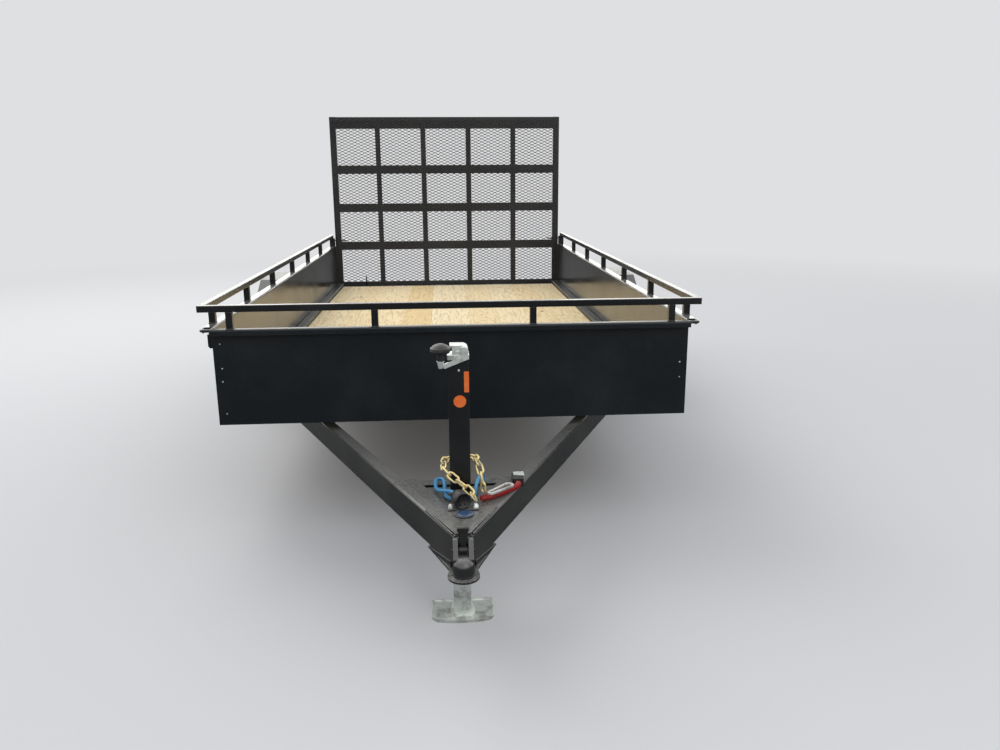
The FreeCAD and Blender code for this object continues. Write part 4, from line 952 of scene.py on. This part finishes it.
def wing_plates():
    """Thin tapered plates where the coupler is welded to the channels' outer faces."""
    shape = bmesh.new()
    low = corner_box("tongue_channels")[0].z
    tip = corner_box("tongue_gusset")[0].y
    lean = math.radians(tongue_half_angle)
    for side in (-1, 1):
        along = Vector((side * math.sin(lean), math.cos(lean), 0))
        out = Vector((side * math.cos(lean), -math.sin(lean), 0))
        foot = Vector((side * wing_start_x, tip + wing_start_y, low)) + out * skin_gap
        rear = foot + along * wing_length
        corners = [foot, rear, rear + upward * wing_rear_height, foot + upward * wing_front_height]
        add_plate(shape, corners, out * wing_thickness)
    new_piece("coupler_wings", shape, "black_gloss", "chassis")


def corner_bracket():
    """Small plate beside the front panel's left edge, below the flange, with its lower corner cut."""
    edge = -corner_box("front_panel")[1].x
    face = panel_face + bracket_setback
    corners = [(edge, bracket_low), (edge, bracket_high), (edge - bracket_width, bracket_high),
               (edge - bracket_width, bracket_low + bracket_cut), (edge - bracket_foot_width, bracket_low)]
    shape = bmesh.new()
    add_plate(shape, [Vector((x, face, z)) for x, z in corners], Vector((0, bracket_thickness, 0)))
    new_piece("corner_bracket", shape, "black_gloss", "chassis")


def hinge_handles():
    """Handles of the gate's hinge pins, upright in front of the mesh's foot."""
    shape = bmesh.new()
    front = corner_box("gate_mesh")[0].y - handle_radius - handle_gap
    for x, height in handle_places:
        foot = Vector((x, front, deck_high.z + handle_lift))
        bar = [foot, foot + upward * height / 2, foot + upward * height]
        add_tube(shape, bar, [handle_radius] * len(bar), sides=8)
    new_piece("hinge_handles", shape, "black_gloss", "gate", smooth=True)


def lever_front():
    """Front face of the latch's grip, which is its highest part."""
    mesh = nodes_by_name["coupler_latch"]
    spots = [mesh.matrix_world @ vertex.co for vertex in mesh.data.vertices]
    top = max(spot.z for spot in spots)
    return min(spot.y for spot in spots if spot.z > top - grip_depth)


def lever_flare():
    """Tapered web between the latch lever's grip and its neck."""
    low, high = corner_box("coupler_latch")
    centre = (low.x + high.x) / 2
    top = high.z - flare_top_gap
    foot = high.z - flare_height
    front = lever_front() - skin_gap
    corners = [(-flare_top_half, top), (flare_top_half, top), (flare_foot_half, foot),
               (-flare_foot_half, foot)]
    shape = bmesh.new()
    add_plate(shape, [Vector((centre + x, front, z)) for x, z in corners], Vector((0, flare_thickness, 0)))
    new_piece("lever_flare", shape, "black_gloss", "chassis", look=lever_black)


def switch_plate():
    """Bright plate on top of the breakaway switch."""
    low, high = corner_box("breakaway_switch")
    left, right = low.x + switch_left, high.x + switch_right
    rear = high.y + switch_rear
    corners = [(left, high.y + switch_front_left), (right, high.y + switch_front_right), (right, rear),
               (left, rear)]
    shape = bmesh.new()
    level = high.z + switch_gap
    add_plate(shape, [Vector((x, y, level)) for x, y in corners], upward * switch_plate_thickness)
    new_piece("switch_plate", shape, "zinc", "chassis")


# Tyres

def tyre_outline():
    """Outer wall, tread, and the other wall with the inside, as (place across, radius)."""
    low, high = corner_box("tyre_right")
    tyre_radius = (high.z - low.z) / 2
    widest = (high.x - low.x) / 2
    wall = [(bead_place + across, bead_radius + out) for across, out in bead_points]
    wall += [(widest - inward, radius) for inward, radius in wall_points]
    tread = []
    for step in range(tread_steps + 1):
        x = tread_half - 2 * tread_half * step / tread_steps
        tread.append((x, tyre_radius - tread_drop * (abs(x) / tread_half) ** tread_roundness))
    back = [(-x, radius) for x, radius in wall[::-1]]
    inside = [(-x, radius) for x, radius in lining_points] + lining_points[::-1]
    return wall, tread, back + inside


def groove_depth(x, turn):
    """How far the tread is cut in at a place: ring grooves that weave, and notches."""
    weave = groove_weave * math.sin(turn * notch_count / 2)
    for place in groove_places:
        off = abs(x - place - weave)
        if off < groove_half:
            return tread_depth * min(1.0, (groove_half - off) / groove_wall)
    share = (turn * notch_count / (2 * math.pi)) % 1.0
    if abs(x) > edge_notch_start and share < edge_notch_share:
        return tread_depth * edge_notch_depth
    across, along = rib_notch_across, rib_notch_along
    if across[0] < abs(x) < across[1] and along[0] < share < along[1]:
        return tread_depth * rib_notch_depth
    return 0.0


def treaded_tyre(side):
    """Tyre with ribs, notches and a ringed wall, over the plain one of a side."""
    centre = centre_of("tyre_" + side)
    wall, tread, rest = tyre_outline()
    shape = bmesh.new()
    rings = []
    for turn in full_turn(tyre_steps):
        cut = [(x, radius - groove_depth(x, turn)) for x, radius in tread]
        rings.append([shape.verts.new((centre.x + x, centre.y + radius * math.sin(turn),
                                       centre.z - radius * math.cos(turn)))
                      for x, radius in wall + cut + rest])
    for ring, other in zip(rings, rings[1:] + rings[:1]):
        bridge(shape, ring, other)
    piece = new_piece("treaded_tyre_" + side, shape, "tyre", side + "_wheel", smooth=True)
    for face in piece.data.polygons:
        place = face.index % len(rings[0])
        face.use_smooth = not len(wall) <= place < len(wall) + tread_steps
    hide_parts("tyre_" + side)


# Gate

def expanded_mesh():
    """Expanded metal: zigzag strands, tilted, that meet their neighbours at short bonds."""
    low, high = corner_box("gate_mesh")
    left, foot = low.x + mesh_edge, low.z + mesh_edge
    width, height = high.x - low.x - 2 * mesh_edge, high.z - low.z - 2 * mesh_edge
    columns = round(width / strand_half_pitch)
    rows = round(height / strand_row_step)
    step_x, step_z = width / columns, height / rows
    middle_y = (low.y + high.y) / 2
    swing = step_z / 2 - strand_depth / 2
    bond = step_x * bond_share
    tilt = math.radians(strand_tilt)
    half_wide = Vector((0, math.sin(tilt), math.cos(tilt))) * strand_width / 2
    half_deep = Vector((0, math.cos(tilt), -math.sin(tilt))) * strand_depth / 2
    section = ((half_wide, half_deep), (half_wide, -half_deep), (-half_wide, -half_deep),
               (-half_wide, half_deep))
    shape = bmesh.new()
    for row in range(rows):
        z = foot + (row + 0.5) * step_z
        before = None
        for column in range(columns + 1):
            x = left + column * step_x
            rise = swing if (row + column) % 2 else -swing
            places = [x] if column in (0, columns) else [x - bond, x + bond]
            for place in places:
                centre = Vector((place, middle_y, z + rise))
                ring = [shape.verts.new(centre + wide + deep) for wide, deep in section]
                if before:
                    bridge(shape, before, ring)
                before = ring
    piece = new_piece("gate_expanded_mesh", shape, "gate_black", "gate")
    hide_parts("gate_mesh")


# Lights and floor

def area_light(name, place, target, size, power, tint=(1.0, 1.0, 1.0)):
    light = bpy.data.lights.new(name, "AREA")
    light.shape = "RECTANGLE"
    light.size, light.size_y = size
    light.energy = power
    light.color = tint
    lamp = link(name, light)
    lamp.location = place
    lamp.rotation_euler = (Vector(target) - Vector(place)).to_track_quat("-Z", "Y").to_euler()


def lit_world():
    """Even sky: plain to the camera, and in reflections bright low down behind the trailer."""
    world = bpy.data.worlds.new("studio")
    bpy.context.scene.world = world
    world.use_nodes = True
    tree = NodeTree(world.node_tree)
    direction = tree.add("ShaderNodeTexCoord").outputs["Generated"]
    split = tree.add("ShaderNodeSeparateXYZ", {"Vector": direction})
    behind = tree.level(split.outputs["Y"], 0.0, 1.0, *behind_stretch)
    low_down = tree.level(split.outputs["Z"], 1.0, glow_left_high_up, *low_stretch)
    overhead = tree.level(split.outputs["Z"], 0.0, 1.0, *overhead_stretch)
    glow = tree.maths("MULTIPLY", behind, low_down)
    sky = tree.mix(glow, tree.mix(overhead, dim_sky, high_sky), bright_sky)
    path = tree.add("ShaderNodeLightPath")
    mirrored = tree.mix(path.outputs["Is Glossy Ray"], even_sky, sky)
    seen = tree.mix(path.outputs["Is Camera Ray"], mirrored, backdrop)
    tree.feed(tree.nodes["Background"].inputs["Color"], seen)


def floor():
    """Wide plain floor that fades into the backdrop, for the camera only."""
    plane = bmesh.new()
    bmesh.ops.create_grid(plane, x_segments=1, y_segments=1, size=floor_size)
    ground = link("studio_floor", mesh_from("studio_floor", plane))
    surface = Surface("studio_floor")
    seen = surface.add("ShaderNodeLightPath").outputs["Is Camera Ray"]
    place = surface.add("ShaderNodeNewGeometry").outputs["Position"]
    distance = surface.add("ShaderNodeVectorMath", {0: place}, operation="LENGTH").outputs["Value"]
    far = surface.maths("MULTIPLY", surface.level(distance, 0.0, 1.0, *floor_fade), seen)
    near = surface.mix(seen, floor_to_things, floor_to_camera)
    surface.colour(surface.mix(far, near, black))
    surface.feed(surface.shader.inputs["Emission Color"], backdrop)
    surface.feed(surface.shader.inputs["Emission Strength"], far)
    ground.data.materials.append(surface.finish(rough=1.0, gloss=0.0))


aim_camera()
lead_cord()
breakaway_cord()
safety_chain()
lid_and_nuts()
jack_stickers()
panel_bolts()
deck_screws()
post_welds()
wing_plates()
corner_bracket()
hinge_handles()
lever_flare()
switch_plate()
treaded_tyre("right")
treaded_tyre("left")
expanded_mesh()
lit_world()
floor()
area_light("key", place=(-4.0, 4.5, 7.0), target=(0, 0, 0.4), size=(7.0, 7.0), power=330,
           tint=(1.0, 0.98, 0.95))
area_light("fill", place=(2.5, -6.5, 4.0), target=(0, -1.0, 0.4), size=(5.0, 4.0), power=60)
bpy.context.scene.view_settings.view_transform = "Standard"
